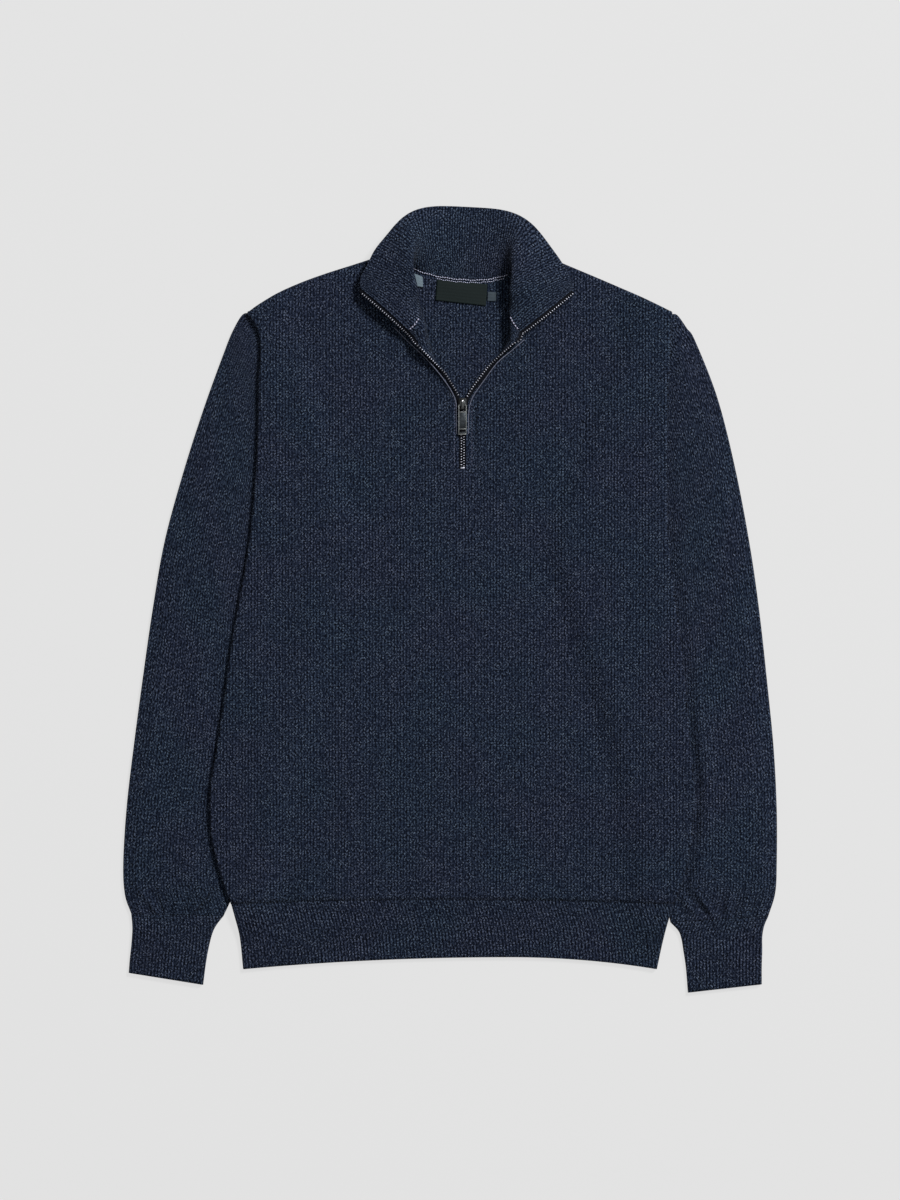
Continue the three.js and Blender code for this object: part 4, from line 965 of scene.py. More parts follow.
def cloth_panel(name, points, uv, kept, node):
    made = piece(name, grid_mesh(name, points, uv, kept), JERSEY, replaces=[node])
    return walled(made, PANEL_WALL, 0)


def front_panel():
    dense, slit, half = front_shape()
    points = with_round_edges(dense, -1)
    centre = len(ROLL) + half - 1
    left_lapel = np.arange(centre - LAPEL_COLUMNS + 1, centre + 1)
    right_lapel = np.arange(centre + LAPEL_COLUMNS, centre, -1)
    uv = panel_uv(points, [left_lapel, right_lapel])
    kept = np.ones((points.shape[0] - 1, points.shape[1] - 1), bool)
    kept[slit:, centre] = False
    open_shoulders(kept, SIDE_COLUMNS)
    return cloth_panel("front_cloth", points, uv, kept, "front"), dense, slit, half


# Back panel

def back_shape():
    rows, _ = row_places()
    last = len(FRONT_LEFT["side"]) - 1
    dip = np.zeros(last + 1)
    dip[last - np.arange(len(BACK_DIP_FROM_TOP))] = BACK_DIP_FROM_TOP
    share = (BACK_NECK["x"][1:-1] - BACK_NECK["x"][0]) / np.ptp(BACK_NECK["x"])
    left = side_points(FRONT_LEFT, "left")
    right = side_points(FRONT_RIGHT, "right")[:, ::-1]
    start, end = left[:, -1:], right[:, :1]
    neck = start * (1 - share[None, :, None]) + end * share[None, :, None]
    neck[..., 1] -= dip[:, None] * BACK_NECK["drop"][1:-1]
    coarse = with_hem_row(np.concatenate([left, neck, right], 1))
    side_end = len(SIDE_SHARES) - 1
    neck_end = side_end + 1 + len(share)
    columns = stretches((side_end, BACK_SIDE_COLUMNS), (neck_end, BACK_NECK_COLUMNS),
                        (neck_end + side_end, BACK_SIDE_COLUMNS))
    plan = refined(coarse, rows, columns)
    x = plan[-1, :, 0]
    first, last = NECK_TUCK_ENDS
    tucked = smooth((x - first) / NECK_TUCK_FADE) * smooth((last - x) / NECK_TUCK_FADE)
    plan[-1, :, 1] += NECK_TUCK * tucked
    z = body_base(plan[..., 0], plan[..., 1]) + PANEL_WALL / 2
    return np.concatenate([plan, z[..., None]], -1)


def back_panel():
    points = with_round_edges(back_shape(), 1)
    kept = np.ones((points.shape[0] - 1, points.shape[1] - 1), bool)
    open_shoulders(kept, BACK_SIDE_COLUMNS)
    return cloth_panel("back_cloth", points, points[..., :2] * MM, kept, "back")


# Flattened tubes: sleeves, cuffs and hem

TUBE_CORNER = 5
SLEEVE_ROWS = 190
SLEEVE_TOP = 130
SLEEVE_UNDER = 14
SLEEVE_RIM = 0.12
GATHER_SPREAD = 95
CUFF_ROWS = 30
HEM_ROWS = 26
RIB_UNDER = 40

def tube_sides(rows, count):
    """Close points down the two sides of a sleeve or cuff."""
    places = np.linspace(0, len(rows["outerX"]) - 1, count)
    at = {key: along(values, places) for key, values in rows.items()}
    return pairs(at["outerX"], at["outerY"]), pairs(at["innerX"], at["innerY"])


def flat_tube(outer, inner, depth, low, high, bottom, top, bend=None):
    """Loops round a flattened tube, its first point repeated last, and its knit places."""
    width = np.linalg.norm(inner - outer, axis=-1)[:, None]
    flat = depth / 2

    def place(share_along, height_of, lift):
        x = outer[:, :1] + (inner[:, :1] - outer[:, :1]) * share_along
        y = outer[:, 1:] + (inner[:, 1:] - outer[:, 1:]) * share_along
        if bend is not None:
            y = bend(x)
        return np.stack([x, y, height_of(x, y) + lift], -1)

    def on_flat(share):
        return (flat + share * (width - depth)) / width

    angles = np.pi * (np.arange(1, TUBE_CORNER + 1) / (TUBE_CORNER + 1) - 0.5)
    rise = flat + flat * np.sin(angles)
    inset = (flat - flat * np.cos(angles[None])) / width
    under = on_flat(np.linspace(0, 1, bottom)[None])
    back = 1 - np.linspace(0, 1, top)[None]
    over = on_flat(back)
    points = [
        place(under, low, 0), place(1 - inset, low, rise),
        place(over, lambda x, y: high(x, y, back), 0), place(inset, low, rise[::-1]),
    ]
    across = [-under * width, (1 - inset) * width, over * width, inset * width]
    return (np.concatenate(points + [points[0][:, :1]], 1),
            np.concatenate(across + [across[0][:, :1]], 1))


def tube_piece(name, node, points, across, down, material, wall):
    uv = pairs(across, -np.broadcast_to(down, across.shape)) * MM
    mesh = closed_up(grid_mesh(name, points, uv))
    return walled(piece(name, mesh, material, replaces=[node]), wall, -1)


def on_table(x, y):
    return np.zeros(np.shape(x))


def sleeve_puff(x, y):
    """The sleeve's top stands up beside the body, and more along the lower right side."""
    left = curve(BODY_SIDES["y"], BODY_SIDES["left"], y) - x
    right = x - curve(BODY_SIDES["y"], BODY_SIDES["right"], y)
    rise = np.where(x < ZIP_X, (left - PUFF_START["left"]) / PUFF_WIDTH["left"],
                    (right - PUFF_START["right"]) / PUFF_WIDTH["right"])
    away = (right - SWELL_PLACE) / SWELL_WIDTH
    swell = np.where(x < ZIP_X, 0, SLEEVE_SWELL * np.exp(-away ** 2))
    swell = swell * smooth((SWELL_TOP_Y - y) / SWELL_FADE)
    return SLEEVE_PUFF * smooth(rise) + swell * smooth(right / SWELL_FOOT)


def gather_height(gathers, share, to_cuff, width):
    """Folds that fan out from the cuff. Each is steeper on one side and leans as it rises."""
    height = np.zeros(np.broadcast(share, to_cuff).shape)
    rise = GATHER_AT_CUFF + (1 - GATHER_AT_CUFF) * smooth(to_cuff / GATHER_RISE)
    gentle, steep = GATHER_SLOPES
    for part, half, length, tall, lean in zip(*gathers.values()):
        grown = to_cuff / length
        away = share - part + lean * to_cuff / width
        away = away / (half * (GATHER_FAN[0] + GATHER_FAN[1] * grown))
        away = np.where(away < 0, away * gentle, away * steep)
        height += tall * np.exp(-away * away) * smooth(1 - grown) * rise
    return height


def sleeve_piece(side, rows):
    outer, inner = tube_sides(rows, SLEEVE_ROWS)

    def high(x, y, share):
        rim = smooth(share / SLEEVE_RIM) * smooth((1 - share) / SLEEVE_RIM)
        to_cuff = np.maximum(y - rows["outerY"][-1], 0)
        puff = sleeve_puff(x, y) * smooth(to_cuff / 40)
        creases = crease_height(SLEEVE_CREASES, x, y)
        gathers = gather_height(CUFF_GATHERS[side], share, to_cuff, GATHER_SPREAD)
        return SLEEVE_DEPTH + rim * (puff + creases + gathers)

    points, across = flat_tube(outer, inner, SLEEVE_DEPTH, on_table, high,
                               SLEEVE_UNDER, SLEEVE_TOP)
    down = path_lengths(points[:, points.shape[1] // 2])[:, None]
    return tube_piece(f"sleeve_{side}_cloth", f"sleeve_{side}", points, across, down,
                      JERSEY, PANEL_WALL)


def rib_height(share, count):
    """Height of rounded ribs at parts of the way across them."""
    wave = 0.5 + 0.5 * np.cos(2 * np.pi * share * count)
    return RIB_RELIEF * (wave ** 0.7 - 1)


def rib_tube(name, node, sides, depth, low, high, width, bend, down):
    """A tube with raised ribs, whose knit keeps the same ribs from end to end."""
    count = round((width - depth) / RIB_PITCH)
    points, across = flat_tube(
        *sides, depth, low, lambda x, y, share: high(x, y) + rib_height(share, count),
        RIB_UNDER, 6 * count + 1, bend)
    scale = count * RIB_PITCH / (width - depth)
    return tube_piece(name, node, points, (across - depth / 2) * scale, down,
                      RIB_KNIT, RIB_WALL)


def cuff_piece(side, rows):
    outer, inner = tube_sides(rows, CUFF_ROWS)
    down = path_lengths((outer + inner) / 2)[:, None]
    start = down / down[-1]

    def high(x, y):
        return SLEEVE_DEPTH + 0.5 + 0.5 * smooth(1 - start * 3) * np.sin(x / 6)

    width = np.linalg.norm(inner - outer, axis=-1).mean()
    return rib_tube(f"cuff_{side}_rib", f"cuff_{side}", (outer, inner), SLEEVE_DEPTH,
                    on_table, high, width, None, down)


def hem_piece():
    part = np.linspace(0, 1, HEM_ROWS)
    left, right = (curve(HEM_SIDES["part"], HEM_SIDES[side], part)
                   for side in ("left", "right"))
    flat = np.zeros(HEM_ROWS)
    part = part[:, None]

    def bend(x):
        return hem_seam_y(x) * (1 - part) + hem_edge_y(x) * part

    def high(x, y):
        pucker = hem_pucker(x, hem_seam_y(x) - y)
        return front_middle(x, y) + PANEL_WALL / 2 + pucker

    return rib_tube("hem_rib_cloth", "hem_rib", (pairs(left, flat), pairs(right, flat)),
                    BODY_DEPTH, body_base, high, np.mean(right - left), bend,
                    part * (HEM_SEAM_Y - HEM_EDGE_Y))


# Collar

def neck_seam(front, back):
    """The neck seam as in the part, from the left zip edge round to the right one."""
    rolls = len(SIDE_SHARES) - 1
    left = front["left"][rolls:][::-1]
    right = front["right"][rolls:]
    points = np.concatenate([
        left[:-1],
        [(left[-1] + back[0]) / 2],
        back[1:-1],
        [(right[0] + back[-1]) / 2],
        right[1:],
    ])
    seam_end = len(left)
    points[seam_end:seam_end + len(back) - 2, 2] = (COLLAR_WALL + SEAM_GAP) / 2
    hidden = len(NECK_SHARES) + 1
    for first in (LAPEL_STEPS, len(points) - LAPEL_STEPS - hidden):
        covered = slice(first, first + hidden)
        points[covered, :2] += unit(NECK_CENTRE - points[covered, :2]) * HIDDEN_SEAM_INSET
    free = np.zeros(len(points), bool)
    free[LAPEL_STEPS + 1:-LAPEL_STEPS - 1] = True
    points = relaxed(points, CALMING, free)
    dense = along(points, np.linspace(0, len(points) - 1, SEAM_PLACES))
    return dense, path_lengths(dense)


def seam_at(seam, parts):
    dense, lengths = seam
    return read_rows(parts * lengths[-1], lengths, dense)


def neck_rows():
    """The top rows of the front's halves and the back, in the part's own points."""
    halves = {}
    for side, rows in (("left", FRONT_LEFT), ("right", FRONT_RIGHT)):
        top = half_front(rows, side)[-1]
        top[:, 2] += front_middle(top[:, 0], top[:, 1])
        halves[side] = top
    share = (BACK_NECK["x"] - BACK_NECK["x"][0]) / np.ptp(BACK_NECK["x"])
    start = np.array([FRONT_LEFT["neckX"][-1], FRONT_LEFT["neckY"][-1]])
    end = np.array([FRONT_RIGHT["neckX"][-1], FRONT_RIGHT["neckY"][-1]])
    plan = start * (1 - share[:, None]) + end * share[:, None]
    plan[:, 1] -= BACK_NECK["drop"]
    z = body_base(plan[:, 0], plan[:, 1]) + PANEL_WALL / 2
    return halves, np.concatenate([plan, z[:, None]], -1)


def hidden_share(parts):
    total = np.zeros(np.shape(parts))
    for start, end in HIDDEN_STRETCHES:
        total += smooth((parts - start) / HIDDEN_FADE) * smooth((end - parts) / HIDDEN_FADE)
    return total


def collar_middle(seam):
    """The part's own collar points, columns along the seam and steps up to the top edge."""
    places = np.linspace(0, len(COLLAR["part"]) - 1, COLLAR_COLUMNS)
    at = {key: along(values, places) for key, values in COLLAR.items()}
    parts = np.clip(at["part"], 0, 1)
    foot = seam_at(seam, parts)
    middle = np.stack([at["middleX"], at["middleY"], at["middleZ"]], -1)
    edge = np.stack([at["edgeX"], at["edgeY"], at["edgeZ"]], -1)
    # The handles put the curve's halfway point on the table's middle point
    handle = (8 * middle - foot - edge) / 6
    reach = (edge - foot) * COLLAR_REACH
    reach[:, 2] = 0
    line = bezier(np.linspace(0, 1, 80)[:, None, None], foot, handle - reach,
                  handle + reach, edge)
    lengths = path_lengths(line)
    start = HIDDEN_LIFT * hidden_share(parts)
    grid = np.array([
        read_rows(np.linspace(start[k], lengths[-1, k], COLLAR_STEPS + 1), lengths[:, k],
                  line[:, k]) for k in range(COLLAR_COLUMNS)])
    for step in range(1, COLLAR_STEPS + 1):
        grid[:, step] = relaxed(grid[:, step], CALMING)
    return grid


CAP_ANGLES = np.radians([-60, -30, 0, 30, 60])
RIB_COLUMNS = 4


def collar_piece(seam):
    """The collar's two faces, joined over its rounded top edge."""
    coarse = collar_middle(seam)
    across = path_lengths(coarse[:, COLLAR_STEPS // 2])
    count = RIB_COLUMNS * round(across[-1] / COLLAR_RIB) + 1
    columns = np.interp(np.linspace(0, across[-1], count), across, np.arange(COLLAR_COLUMNS))
    steps = np.linspace(0, COLLAR_STEPS, 30)
    middle = refined(coarse, columns, steps)
    normals = surface_normals(middle)
    around = np.arange(count)[:, None] / RIB_COLUMNS
    relief = COLLAR_RELIEF * (0.5 * np.cos(2 * np.pi * around) - 0.5)
    half = COLLAR_WALL / 2
    top_fade = smooth((COLLAR_STEPS - steps) / 0.3)[None]
    away = normals * (half + relief * top_fade)[..., None]
    out = unit(middle[:, -1] - middle[:, -2])
    cap = [middle[:, -1] + half * (math.cos(a) * out - math.sin(a) * normals[:, -1])
           for a in CAP_ANGLES]
    shown = middle + away
    ring = np.concatenate(
        [shown, np.stack(cap, 1), (middle - away)[:, ::-1], shown[:, :1]], 1)
    up = path_lengths(np.swapaxes(middle, 0, 1))[:, count // 2]
    over = up[-1] + half * (CAP_ANGLES + math.pi / 2)
    round_up = np.concatenate([up, over, 2 * up[-1] + math.pi * half - up[::-1], [up[0]]])
    uv = pairs(*np.broadcast_arrays(around * COLLAR_RIB, round_up[None])) * MM
    mesh = closed_up(grid_mesh("collar_cloth", ring, uv), ends=True)
    return piece("collar_cloth", mesh, COLLAR_KNIT, replaces=["collar"]), middle


# Zip

ZIP_PLACES = 500
EDGE_CALMING = 12
TURN_CALMING = 120
# Heights between which the teeth keep to ZIP_LINES, and how fast that sets in and ends
TURN_FOOT = (203, 8)
TURN_TOP = (268, 14)
TOOTH_EASE = 0.28
STRAND_SIDES = 8
CLOTH_REACH = 2.2
TOOTH_CLOSED = (1.8, 2.0, 1.15)
TOOTH_OPEN = (2.0, 2.1, 1.2)


def square_to(tangent, out):
    return unit(out - tangent * np.sum(out * tangent, -1, keepdims=True))


def zip_frames(front, slit, half, collar, side):
    """Close frames along a zip edge, from the slit's foot to the collar's tip."""
    left = side == "left"
    column, inside = (half - 1, -1) if left else (half, 1)
    end, before = (0, 3) if left else (-1, -4)
    edge = np.concatenate([front[slit:, column], collar[end, 1:]])
    inner = np.concatenate([front[slit:, column + 3 * inside], collar[before, 1:]])
    out = square_to(unit(np.gradient(edge, axis=0)), edge - inner)
    lengths = path_lengths(edge)
    every = np.linspace(0, lengths[-1], ZIP_PLACES)
    edge = relaxed(read_rows(every, lengths, edge), EDGE_CALMING)
    out = relaxed(read_rows(every, lengths, out), TURN_CALMING)
    tangent = unit(np.gradient(edge, axis=0))
    out = square_to(tangent, even_turn(out, edge, tangent, side))
    up = unit(np.cross(out, tangent)) * (1 if left else -1)
    return {"edge": edge, "out": out, "up": up, "tangent": tangent, "length": every}


def even_turn(out, edge, tangent, side):
    """Turns the zip over along the V so that its teeth keep to their own line."""
    line = ZIP_LINES[side]
    plan = unit(tangent[:, :2])
    y = edge[:, 1]
    away = np.interp(y, line["y"], line["x"]) - edge[:, 0]
    level = np.clip(away * plan[:, 1] / TOOTH_REACH, -1, 1)
    aimed = np.stack([plan[:, 1] * level, -plan[:, 0] * level, np.sqrt(1 - level ** 2)], -1)
    share = (smooth((y - TURN_FOOT[0]) / TURN_FOOT[1])
             * smooth((TURN_TOP[0] - y) / TURN_TOP[1]))[:, None]
    return out * (1 - share) + aimed * share


def at_length(frames, lengths):
    return {key: read_rows(lengths, frames["length"], frames[key])
            for key in ("edge", "out", "up", "tangent")}


def strand(points, radius):
    """A closed round strand along a line of points."""
    tangent = unit(np.gradient(points, axis=0))
    side = unit(np.cross(tangent, [0, 0, 1]))
    lift = np.cross(side, tangent)
    angles = np.linspace(0, 2 * np.pi, STRAND_SIDES + 1)[None, :, None]
    grid = points[:, None] + radius * (np.cos(angles) * side[:, None]
                                       + np.sin(angles) * lift[:, None])
    return closed_up(grid_mesh("strand", grid, np.zeros(grid.shape[:2] + (2,))), ends=True)


def tape_piece(side, frames):
    """The narrow woven strip between the cloth's edge and the teeth."""
    inner, outer = TOOTH_REACH - 0.6, TOOTH_REACH + 0.3
    section = np.array([
        (-1.2, 0.4), (1.2, 0.45), (inner, 0.5), (outer, 0.45),
        (outer, -0.45), (inner, -0.5), (1.2, -0.45), (-1.2, -0.4), (-1.2, 0.4),
    ])
    reach = section[:, 0][None] * narrowing(frames)[:, None]
    level = section[:, 1][None] * TAPE_WALL
    grid = (frames["edge"][:, None] + reach[..., None] * frames["out"][:, None]
            + level[..., None] * frames["up"][:, None])
    uv = pairs(reach, np.broadcast_to(frames["length"][:, None], reach.shape)) * MM
    mesh = closed_up(grid_mesh("tape", grid, uv), ends=True)
    return piece(f"zip_tape_{side}", mesh, TAPE,
                 replaces=[f"zip_half_{side}"])


def narrowing(frames):
    """The tape shows its full width only where the zip is open."""
    room = np.abs(frames["edge"][:, 0] - ZIP_X) / TOOTH_REACH
    closed = frames["edge"][:, 1] < SLIDER_TOP_Y + 8
    return np.where(closed, np.clip(room - 0.18, 0.4, 1), 1)


def tooth_matrix(place, out, up, tangent, size):
    basis = Matrix((out, up, tangent)).transposed().to_4x4()
    return Matrix.Translation(Vector(place) * MM) @ basis @ Matrix.Diagonal((*size, 1))


def teeth_piece(side, frames):
    """One row of teeth: small blocks with eased edges. The slider hides those inside it."""
    phase, sign = (0.25, -1) if side == "left" else (0.75, 1)
    count = int(frames["length"][-1] / TOOTH_PITCH)
    at = at_length(frames, (np.arange(count) + phase) * TOOTH_PITCH)
    slider_low = SLIDER_TOP_Y - SLIDER_LENGTH
    bm = bmesh.new()
    for edge, out, up, tangent in zip(at["edge"], at["out"], at["up"], at["tangent"]):
        if slider_low <= edge[1] < SLIDER_TOP_Y:
            continue
        if edge[1] < slider_low:
            place = np.array([ZIP_X + sign * 1.25, edge[1], CHAIN_Z])
            out, up, tangent = (-sign, 0, 0), (0, 0, 1), (0, 1, 0)
            size = np.array(TOOTH_CLOSED) * MM
        else:
            place = edge + (TOOTH_REACH - 0.3) * out
            size = np.array(TOOTH_OPEN) * MM
        bmesh.ops.create_cube(bm, size=1, matrix=tooth_matrix(place, out, up, tangent, size))
    bmesh.ops.bevel(bm, geom=bm.edges, offset=TOOTH_EASE * MM, segments=1, profile=0.5,
                    affect="EDGES", material=-1)
    bmesh.ops.recalc_face_normals(bm, faces=bm.faces)
    return piece(f"zip_teeth_{side}", mesh_from(bm, "teeth"), TEETH)


def on_cloth(cloth, x, y, above):
    """A line over the cloth's highest points."""
    return np.array([(a, b, cloth_height(cloth, a, b) + above) for a, b in zip(x, y)])


def edge_cord(side, cloth):
    """The outer cloth's raised edge beside the zip, as a thin pale strand: the paleness is a
    painted highlight along the fold.
    """
    edge = OUTER_EDGE[side]
    y = np.linspace(edge["y"][0], edge["y"][-1], 90)
    line = relaxed(on_cloth(cloth, curve(edge["y"], edge["x"], y), y, 0.15), 25)
    return piece(f"zip_edge_highlight_cord_{side}", strand(line, 0.42), EDGE_HIGHLIGHT_STRAND)


def stitch_row(name, line, lift, pitch, length, radius, material):
    """A row of short sewn stitches that lie on the cloth."""
    lengths = path_lengths(line)
    centres = (np.arange(int(lengths[-1] / pitch)) + 0.5) * pitch
    starts = read_rows(centres - length / 2, lengths, line)
    ends = read_rows(centres + length / 2, lengths, line)
    bm = bmesh.new()
    for start, end in zip(starts, ends):
        middle = (start + end) / 2 + (0, 0, lift)
        direction = Vector(end - start).normalized()
        turn = Vector((0, 0, 1)).rotation_difference(direction).to_matrix().to_4x4()
        size = Matrix.Diagonal((radius * MM, radius * MM, length * 0.5 * MM, 1))
        bmesh.ops.create_icosphere(
            bm, subdivisions=1, radius=1,
            matrix=Matrix.Translation(Vector(middle) * MM) @ turn @ size)
    return piece(name, mesh_from(bm, name), material)


def cloth_height(cloth, x, y):
    every = cloth.reshape(-1, 3)
    near = np.hypot(every[:, 0] - x, every[:, 1] - y) < CLOTH_REACH
    return every[near, 2].max() + PANEL_WALL / 2


def neck_stitches(seam):
    """The pale linking chain along the neck seam, shown at the back and on the lapels."""
    rows = []
    lift = COLLAR_WALL / 2 + 0.4
    places = 160
    steps = np.arange(places)
    waver = 0.7 * np.sin(steps * 0.9) + 0.3 * np.sin(steps * 0.23 + 1)
    for name, start, end, drop, radius in (
            ("back", 0.325, 0.66, 0, 0.55), ("back_lower", 0.41, 0.645, 2.4, 0.36)):
        line = seam_at(seam, np.linspace(start, end, places))
        line[:, 1] += waver - drop
        rows.append(stitch_row(f"neck_linking_{name}", line, lift, 2.8, 2.3,
                               radius, PALE_THREAD))
    for name, start, end in (("left", 0.004, 0.068), ("right", 0.935, 0.99)):
        line = seam_at(seam, np.linspace(start, end, 40))
        rows.append(stitch_row(f"neck_linking_{name}", line, lift, 3.2, 2.7, 0.75,
                               BRIGHT_THREAD))
    return rows


def slit_stitches(cloth):
    """The topstitching down both sides of the closed zip."""
    y = np.linspace(134, 196, 40)
    made = []
    for name, x in (("left", 4.6), ("right", 21.8)):
        line = relaxed(on_cloth(cloth, np.full(len(y), x), y, 0), 10)
        made.append(stitch_row(f"slit_topstitch_{name}", line, 0.1, 3.1, 2.2, 0.36,
                               STITCH_THREAD))
    return made


# Slider and pull

def slab(bm, x0, x1, y0, y1, z0, z1, corner, ease):
    """A flat block with rounded corners and eased edges, added to bm."""
    x0, x1 = sorted((x0, x1))
    part = bmesh.new()
    bmesh.ops.create_cube(part, size=1)
    size = Vector((x1 - x0, y1 - y0, z1 - z0))
    bmesh.ops.scale(part, vec=size, verts=part.verts)
    bmesh.ops.translate(part, vec=Vector(((x0 + x1) / 2, (y0 + y1) / 2, (z0 + z1) / 2)),
                        verts=part.verts)
    if corner:
        upright = [edge for edge in part.edges
                   if abs(edge.verts[0].co.z - edge.verts[1].co.z) > size.z / 2]
        bmesh.ops.bevel(part, geom=upright, offset=corner, segments=4, profile=0.5,
                        affect="EDGES", material=-1)
    if ease:
        rims = [edge for edge in part.edges if edge.calc_face_angle(0) > 0.9]
        bmesh.ops.bevel(part, geom=rims, offset=ease, segments=2, profile=0.5,
                        affect="EDGES", material=-1)
    mesh = mesh_from(part, "slab")
    bm.from_mesh(mesh)
    bpy.data.meshes.remove(mesh)


def finished(bm, name, place):
    bmesh.ops.recalc_face_normals(bm, faces=bm.faces)
    bmesh.ops.scale(bm, vec=Vector((MM, MM, MM)), verts=bm.verts)
    bmesh.ops.transform(bm, matrix=place, verts=bm.verts)
    return mesh_from(bm, name)


CHAIN_PLACE = Matrix.Translation((ZIP_X * MM, 0, CHAIN_Z * MM))
PULL_PLACE = (Matrix.Translation(Vector((ZIP_X, PIN_Y, PIN_Z)) * MM)
              @ Matrix.Rotation(PULL_TILT, 4, "X"))
SLIDER_LOW_Y = SLIDER_TOP_Y - SLIDER_LENGTH
CHANNEL_HALF = SLIDER_CHANNEL / 2
BRIDGE_HALF = 1.25


def slider_piece():
    bm = bmesh.new()
    low, high, half = SLIDER_LOW_Y, SLIDER_TOP_Y, CHANNEL_HALF
    for z in (-half - SLIDER_PLATE, half):
        slab(bm, -SLIDER_HALF, SLIDER_HALF, low, high, z, z + SLIDER_PLATE, 1.5, 0.2)
    for side in (-1, 1):
        slab(bm, side * (SLIDER_HALF - 0.8), side * SLIDER_HALF, low + 1.5, low + 6.5,
             half - 0.8, half + 0.1, 0, 0.1)
    slab(bm, -1.2, 1.2, high - 4, high - 0.3, -half, half, 0.5, 0)
    # Its near black metal is painted shade, seen through the pull's window
    return piece("zip_slider_body", finished(bm, "slider", CHAIN_PLACE), SLIDER_SHADE_DARK,
                 replaces=["zip_slider"])


def bridge_piece():
    """The slider's narrow bridge, which holds the pull."""
    bm = bmesh.new()
    low, high = SLIDER_LOW_Y + 0.6, SLIDER_TOP_Y - 1
    top = CHANNEL_HALF + SLIDER_PLATE
    slab(bm, -BRIDGE_HALF, BRIDGE_HALF, low, high, top + 2.7, top + 3.8, 0.3, 0.3)
    for y in (high - 1.1, low):
        slab(bm, -BRIDGE_HALF, BRIDGE_HALF, y, y + 1.1, top - 0.3, top + 3.5, 0, 0.25)
    return piece("zip_slider_bridge", finished(bm, "bridge", CHAIN_PLACE), NICKEL)


def knob_piece():
    """The rounded head of the slider's bridge, in a nickel far paler than the bridge's: a
    painted highlight.
    """
    bm = bmesh.new()
    bmesh.ops.create_uvsphere(bm, u_segments=24, v_segments=14, radius=1)
    bmesh.ops.scale(bm, vec=Vector((1.4, 1.5, 1.1)), verts=bm.verts)
    place = Vector((ZIP_X, SLIDER_TOP_Y - 3.2, CHAIN_Z + CHANNEL_HALF + SLIDER_PLATE + 3.1))
    mesh = finished(bm, "knob", Matrix.Translation(place * MM))
    return piece("zip_bridge_knob", mesh, KNOB_PAINTED_HIGHLIGHT)


# The pull, from its pin at 0 down to its end
PULL_END = 0.75 - PULL_LENGTH
PULL_THICK = 0.75
PULL_RAIL = 0.95
PULL_EARS = (1.6, 2.6)


def pull_piece():
    """The pull's raised frame: two rails, its bars, an open window and a slot at its end."""
    bm = bmesh.new()

    def block(x0, x1, y0, y1, corner, ease):
        slab(bm, x0, x1, y0, y1, -PULL_THICK, PULL_THICK, corner, ease)

    ear_in, ear_out = PULL_EARS
    for side in (-1, 1):
        block(side * PULL_HALF, side * (PULL_HALF - PULL_RAIL), PULL_END, PULL_TOP_Y,
              0.25, 0.2)
        block(side * ear_in, side * (PULL_HALF - 0.1), PULL_TOP_Y - 0.5, PULL_TOP_Y + 0.4,
              0.3, 0.2)
        block(side * ear_in, side * ear_out, PULL_TOP_Y - 0.2, 0.6, 0.2, 0.2)
    block(-ear_out, ear_out, -0.75, 0.75, 0.3, 0.3)
    inner = PULL_HALF - 0.4
    block(-inner, inner, PULL_END, PULL_END + 1.1, 0, 0.2)
    for y in (PULL_WINDOW_Y, PULL_END + SLOT_HIGH + 0.5):
        block(-inner, inner, y - 0.5, y + 0.5, 0, 0.2)
    return piece("zip_pull_tab", finished(bm, "pull", PULL_PLACE), RAIL_NICKEL,
                 body=PULL_TAB, replaces=["zip_pull"])


def pull_inlays():
    """The pull's sunken face, the near black floor of the slot below it, which is painted
    shadow, and its foot.
    """
    inner = PULL_HALF - 0.6
    slot_low, slot_high = PULL_END + SLOT_LOW, PULL_END + SLOT_HIGH
    for name, material, low, high, half in (
            ("zip_pull_face", FACE_NICKEL, slot_high + 0.3, PULL_WINDOW_Y - 0.2, 0.4),
            ("zip_pull_slot_shadow_floor", SLOT_PAINTED_SHADOW, slot_low, slot_high + 0.2, 0.15),
            ("zip_pull_foot", FACE_NICKEL, PULL_END + 0.9, slot_low, 0.45)):
        bm = bmesh.new()
        slab(bm, -inner, inner, low, high, -half, half, 0, 0.1)
        piece(name, finished(bm, name, PULL_PLACE), material, body=PULL_TAB)


def bottom_stop():
    bm = bmesh.new()
    slab(bm, -2.2, 2.2, ZIP_BOTTOM_Y - 0.9, ZIP_BOTTOM_Y + 0.9, -1.1, 1.3, 0, 0.3)
    return piece("zip_bottom_stop", finished(bm, "stop", CHAIN_PLACE), TEETH)


# Labels, left blank

def label_piece(key, material, edge_lift=0.5):
    """A label sewn on at its top edge. Its lower edge stands off the cloth a little."""
    top_left, top_right, low_right, low_left = np.array(LABELS[key], float)
    u = np.linspace(0, 1, 40)[None, :, None]
    v = np.linspace(0, 1, 24)[:, None, None]
    low = low_left * (1 - u) + low_right * u
    high = top_left * (1 - u) + top_right * u
    plan = low * (1 - v) + high * v
    bow = np.sin(np.pi * u[..., 0]) * np.sin(np.pi * v[..., 0])
    z = LABEL_Z + LABEL_BOW * bow + edge_lift * (1 - v[..., 0]) ** 3
    points = np.concatenate([plan, z[..., None]], -1)
    width = np.linalg.norm(top_right - top_left)
    height = np.linalg.norm(top_left - low_left)
    uv = pairs(*np.broadcast_arrays(u[..., 0] * width, v[..., 0] * height)) * MM
    made = piece(f"label_{key}_satin", grid_mesh("label", points, uv), material,
                 replaces=[f"label_{key}"])
    return walled(made, LABEL_WALL, 0)


# The whole sweater

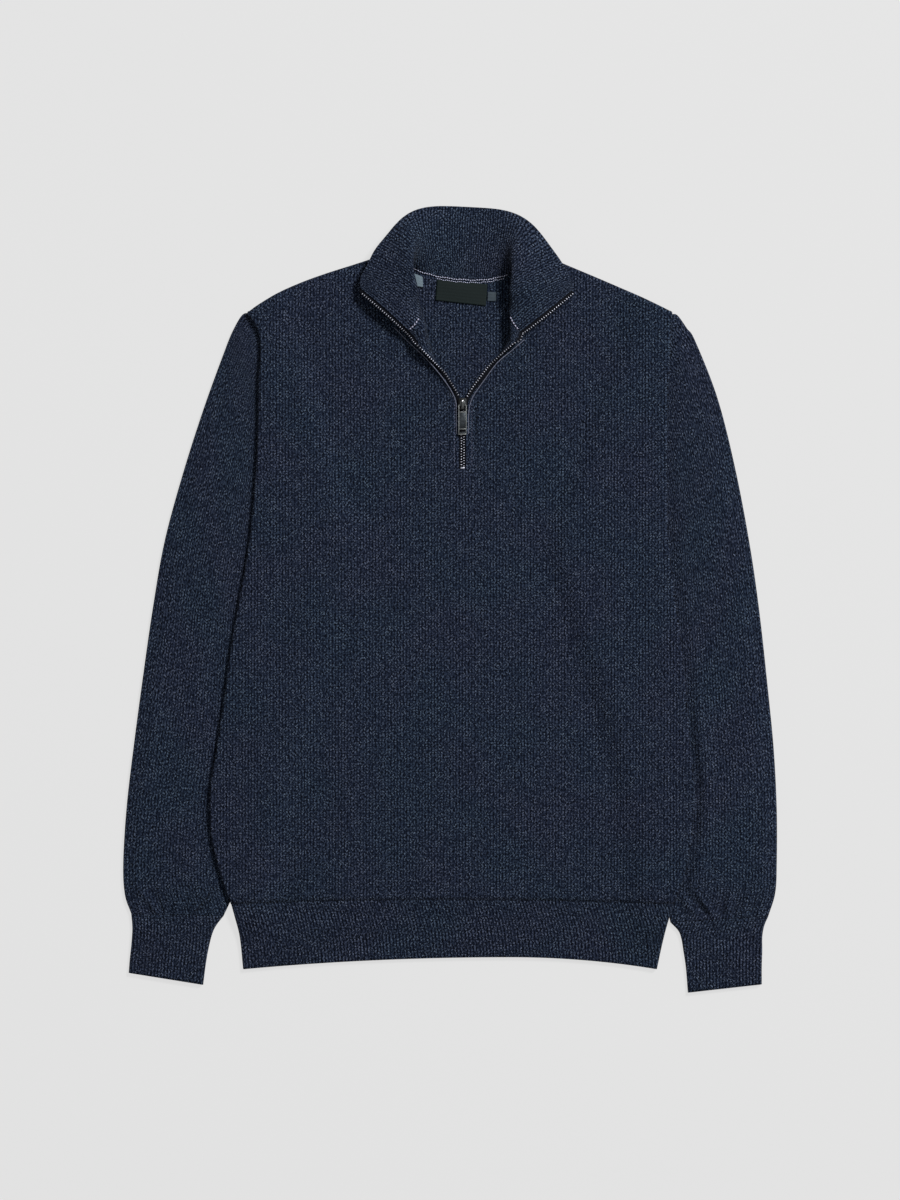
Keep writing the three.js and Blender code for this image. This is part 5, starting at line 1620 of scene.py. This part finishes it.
front, front_points, slit_row, half_columns = front_panel()
back = back_panel()
sleeves = [sleeve_piece("left", SLEEVE_LEFT), sleeve_piece("right", SLEEVE_RIGHT)]
cuffs = [cuff_piece("left", CUFF_LEFT), cuff_piece("right", CUFF_RIGHT)]
hem = hem_piece()
half_tops, back_top = neck_rows()
seam_line = neck_seam(half_tops, back_top)
collar, collar_points = collar_piece(seam_line)
for zip_side in ("left", "right"):
    edge_frames = zip_frames(front_points, slit_row, half_columns, collar_points, zip_side)
    tape_piece(zip_side, edge_frames)
    edge_cord(zip_side, front_points)
    teeth_piece(zip_side, edge_frames)
linking = neck_stitches(seam_line)
topstitches = slit_stitches(front_points)
slider_piece()
bridge_piece()
knob_piece()
pull_piece()
pull_inlays()
bottom_stop()
label_main = label_piece("main", GREEN_SATIN)
label_size = label_piece("size", GREY_SATIN, 0.1)
label_care = label_piece("care", WHITE_SATIN)


# Stage, light and camera

FLOOR_HALF = 6
FLOOR_DROP = 0.0005
FLOOR_GLOW = 0.68
VIEW_HEIGHT = 1.2
CAMERA_HEIGHT = 5.0
CLOTH_LEVEL = 0.006
SENSOR = 24


def stage_floor():
    """A plain pale floor, half a millimetre under the part, that the light hardly shades."""
    bm = bmesh.new()
    bmesh.ops.create_grid(bm, x_segments=1, y_segments=1, size=FLOOR_HALF)
    mesh = mesh_from(bm, "floor")
    n = Nodes("pale_floor", 0.95)
    n.values(Specular_IOR_Level=0.0, Emission_Color=(1, 1, 1, 1), Emission_Strength=FLOOR_GLOW)
    grain = n.noise(n.object_places(), 3.0)
    tone = n.ramp(grain, [(0.3, (0.08, 0.08, 0.08)), (0.7, (0.082, 0.082, 0.082))])
    n.feed(tone, n.shader.inputs["Base Color"])
    mesh.materials.append(n.material)
    floor = placed("floor", mesh)
    floor.location.z = -FLOOR_DROP


def area_light(name, place, size, power):
    data = bpy.data.lights.new(name, "AREA")
    data.shape = "DISK"
    data.size = size
    data.energy = power
    light = placed(name, data)
    light.location = place
    light.rotation_euler = (-Vector(place)).to_track_quat("-Z", "Y").to_euler()


def studio():
    area_light("key_upper_right", (2.7, 2.7, 4.5), 1.5, 390)
    area_light("overhead", (-0.4, 0.2, 3.4), 2.2, 14)
    world = bpy.data.worlds.new("soft_room")
    world.use_nodes = True
    background = world.node_tree.nodes["Background"].inputs
    background["Color"].default_value = (1, 1, 1, 1)
    background["Strength"].default_value = 0.2
    bpy.context.scene.world = world
    bpy.context.scene.view_settings.view_transform = "Standard"


def overhead_camera():
    """Straight down over the middle of the photograph: 0.9 by 1.2 metres of the table."""
    data = bpy.data.cameras.new("overhead_camera")
    data.sensor_fit = "VERTICAL"
    data.sensor_height = SENSOR
    data.lens = SENSOR * (CAMERA_HEIGHT - CLOTH_LEVEL) / VIEW_HEIGHT
    camera = placed("overhead_camera", data)
    camera.location = (0, 0, CAMERA_HEIGHT)
    bpy.context.scene.camera = camera


stage_floor()
studio()
overhead_camera()
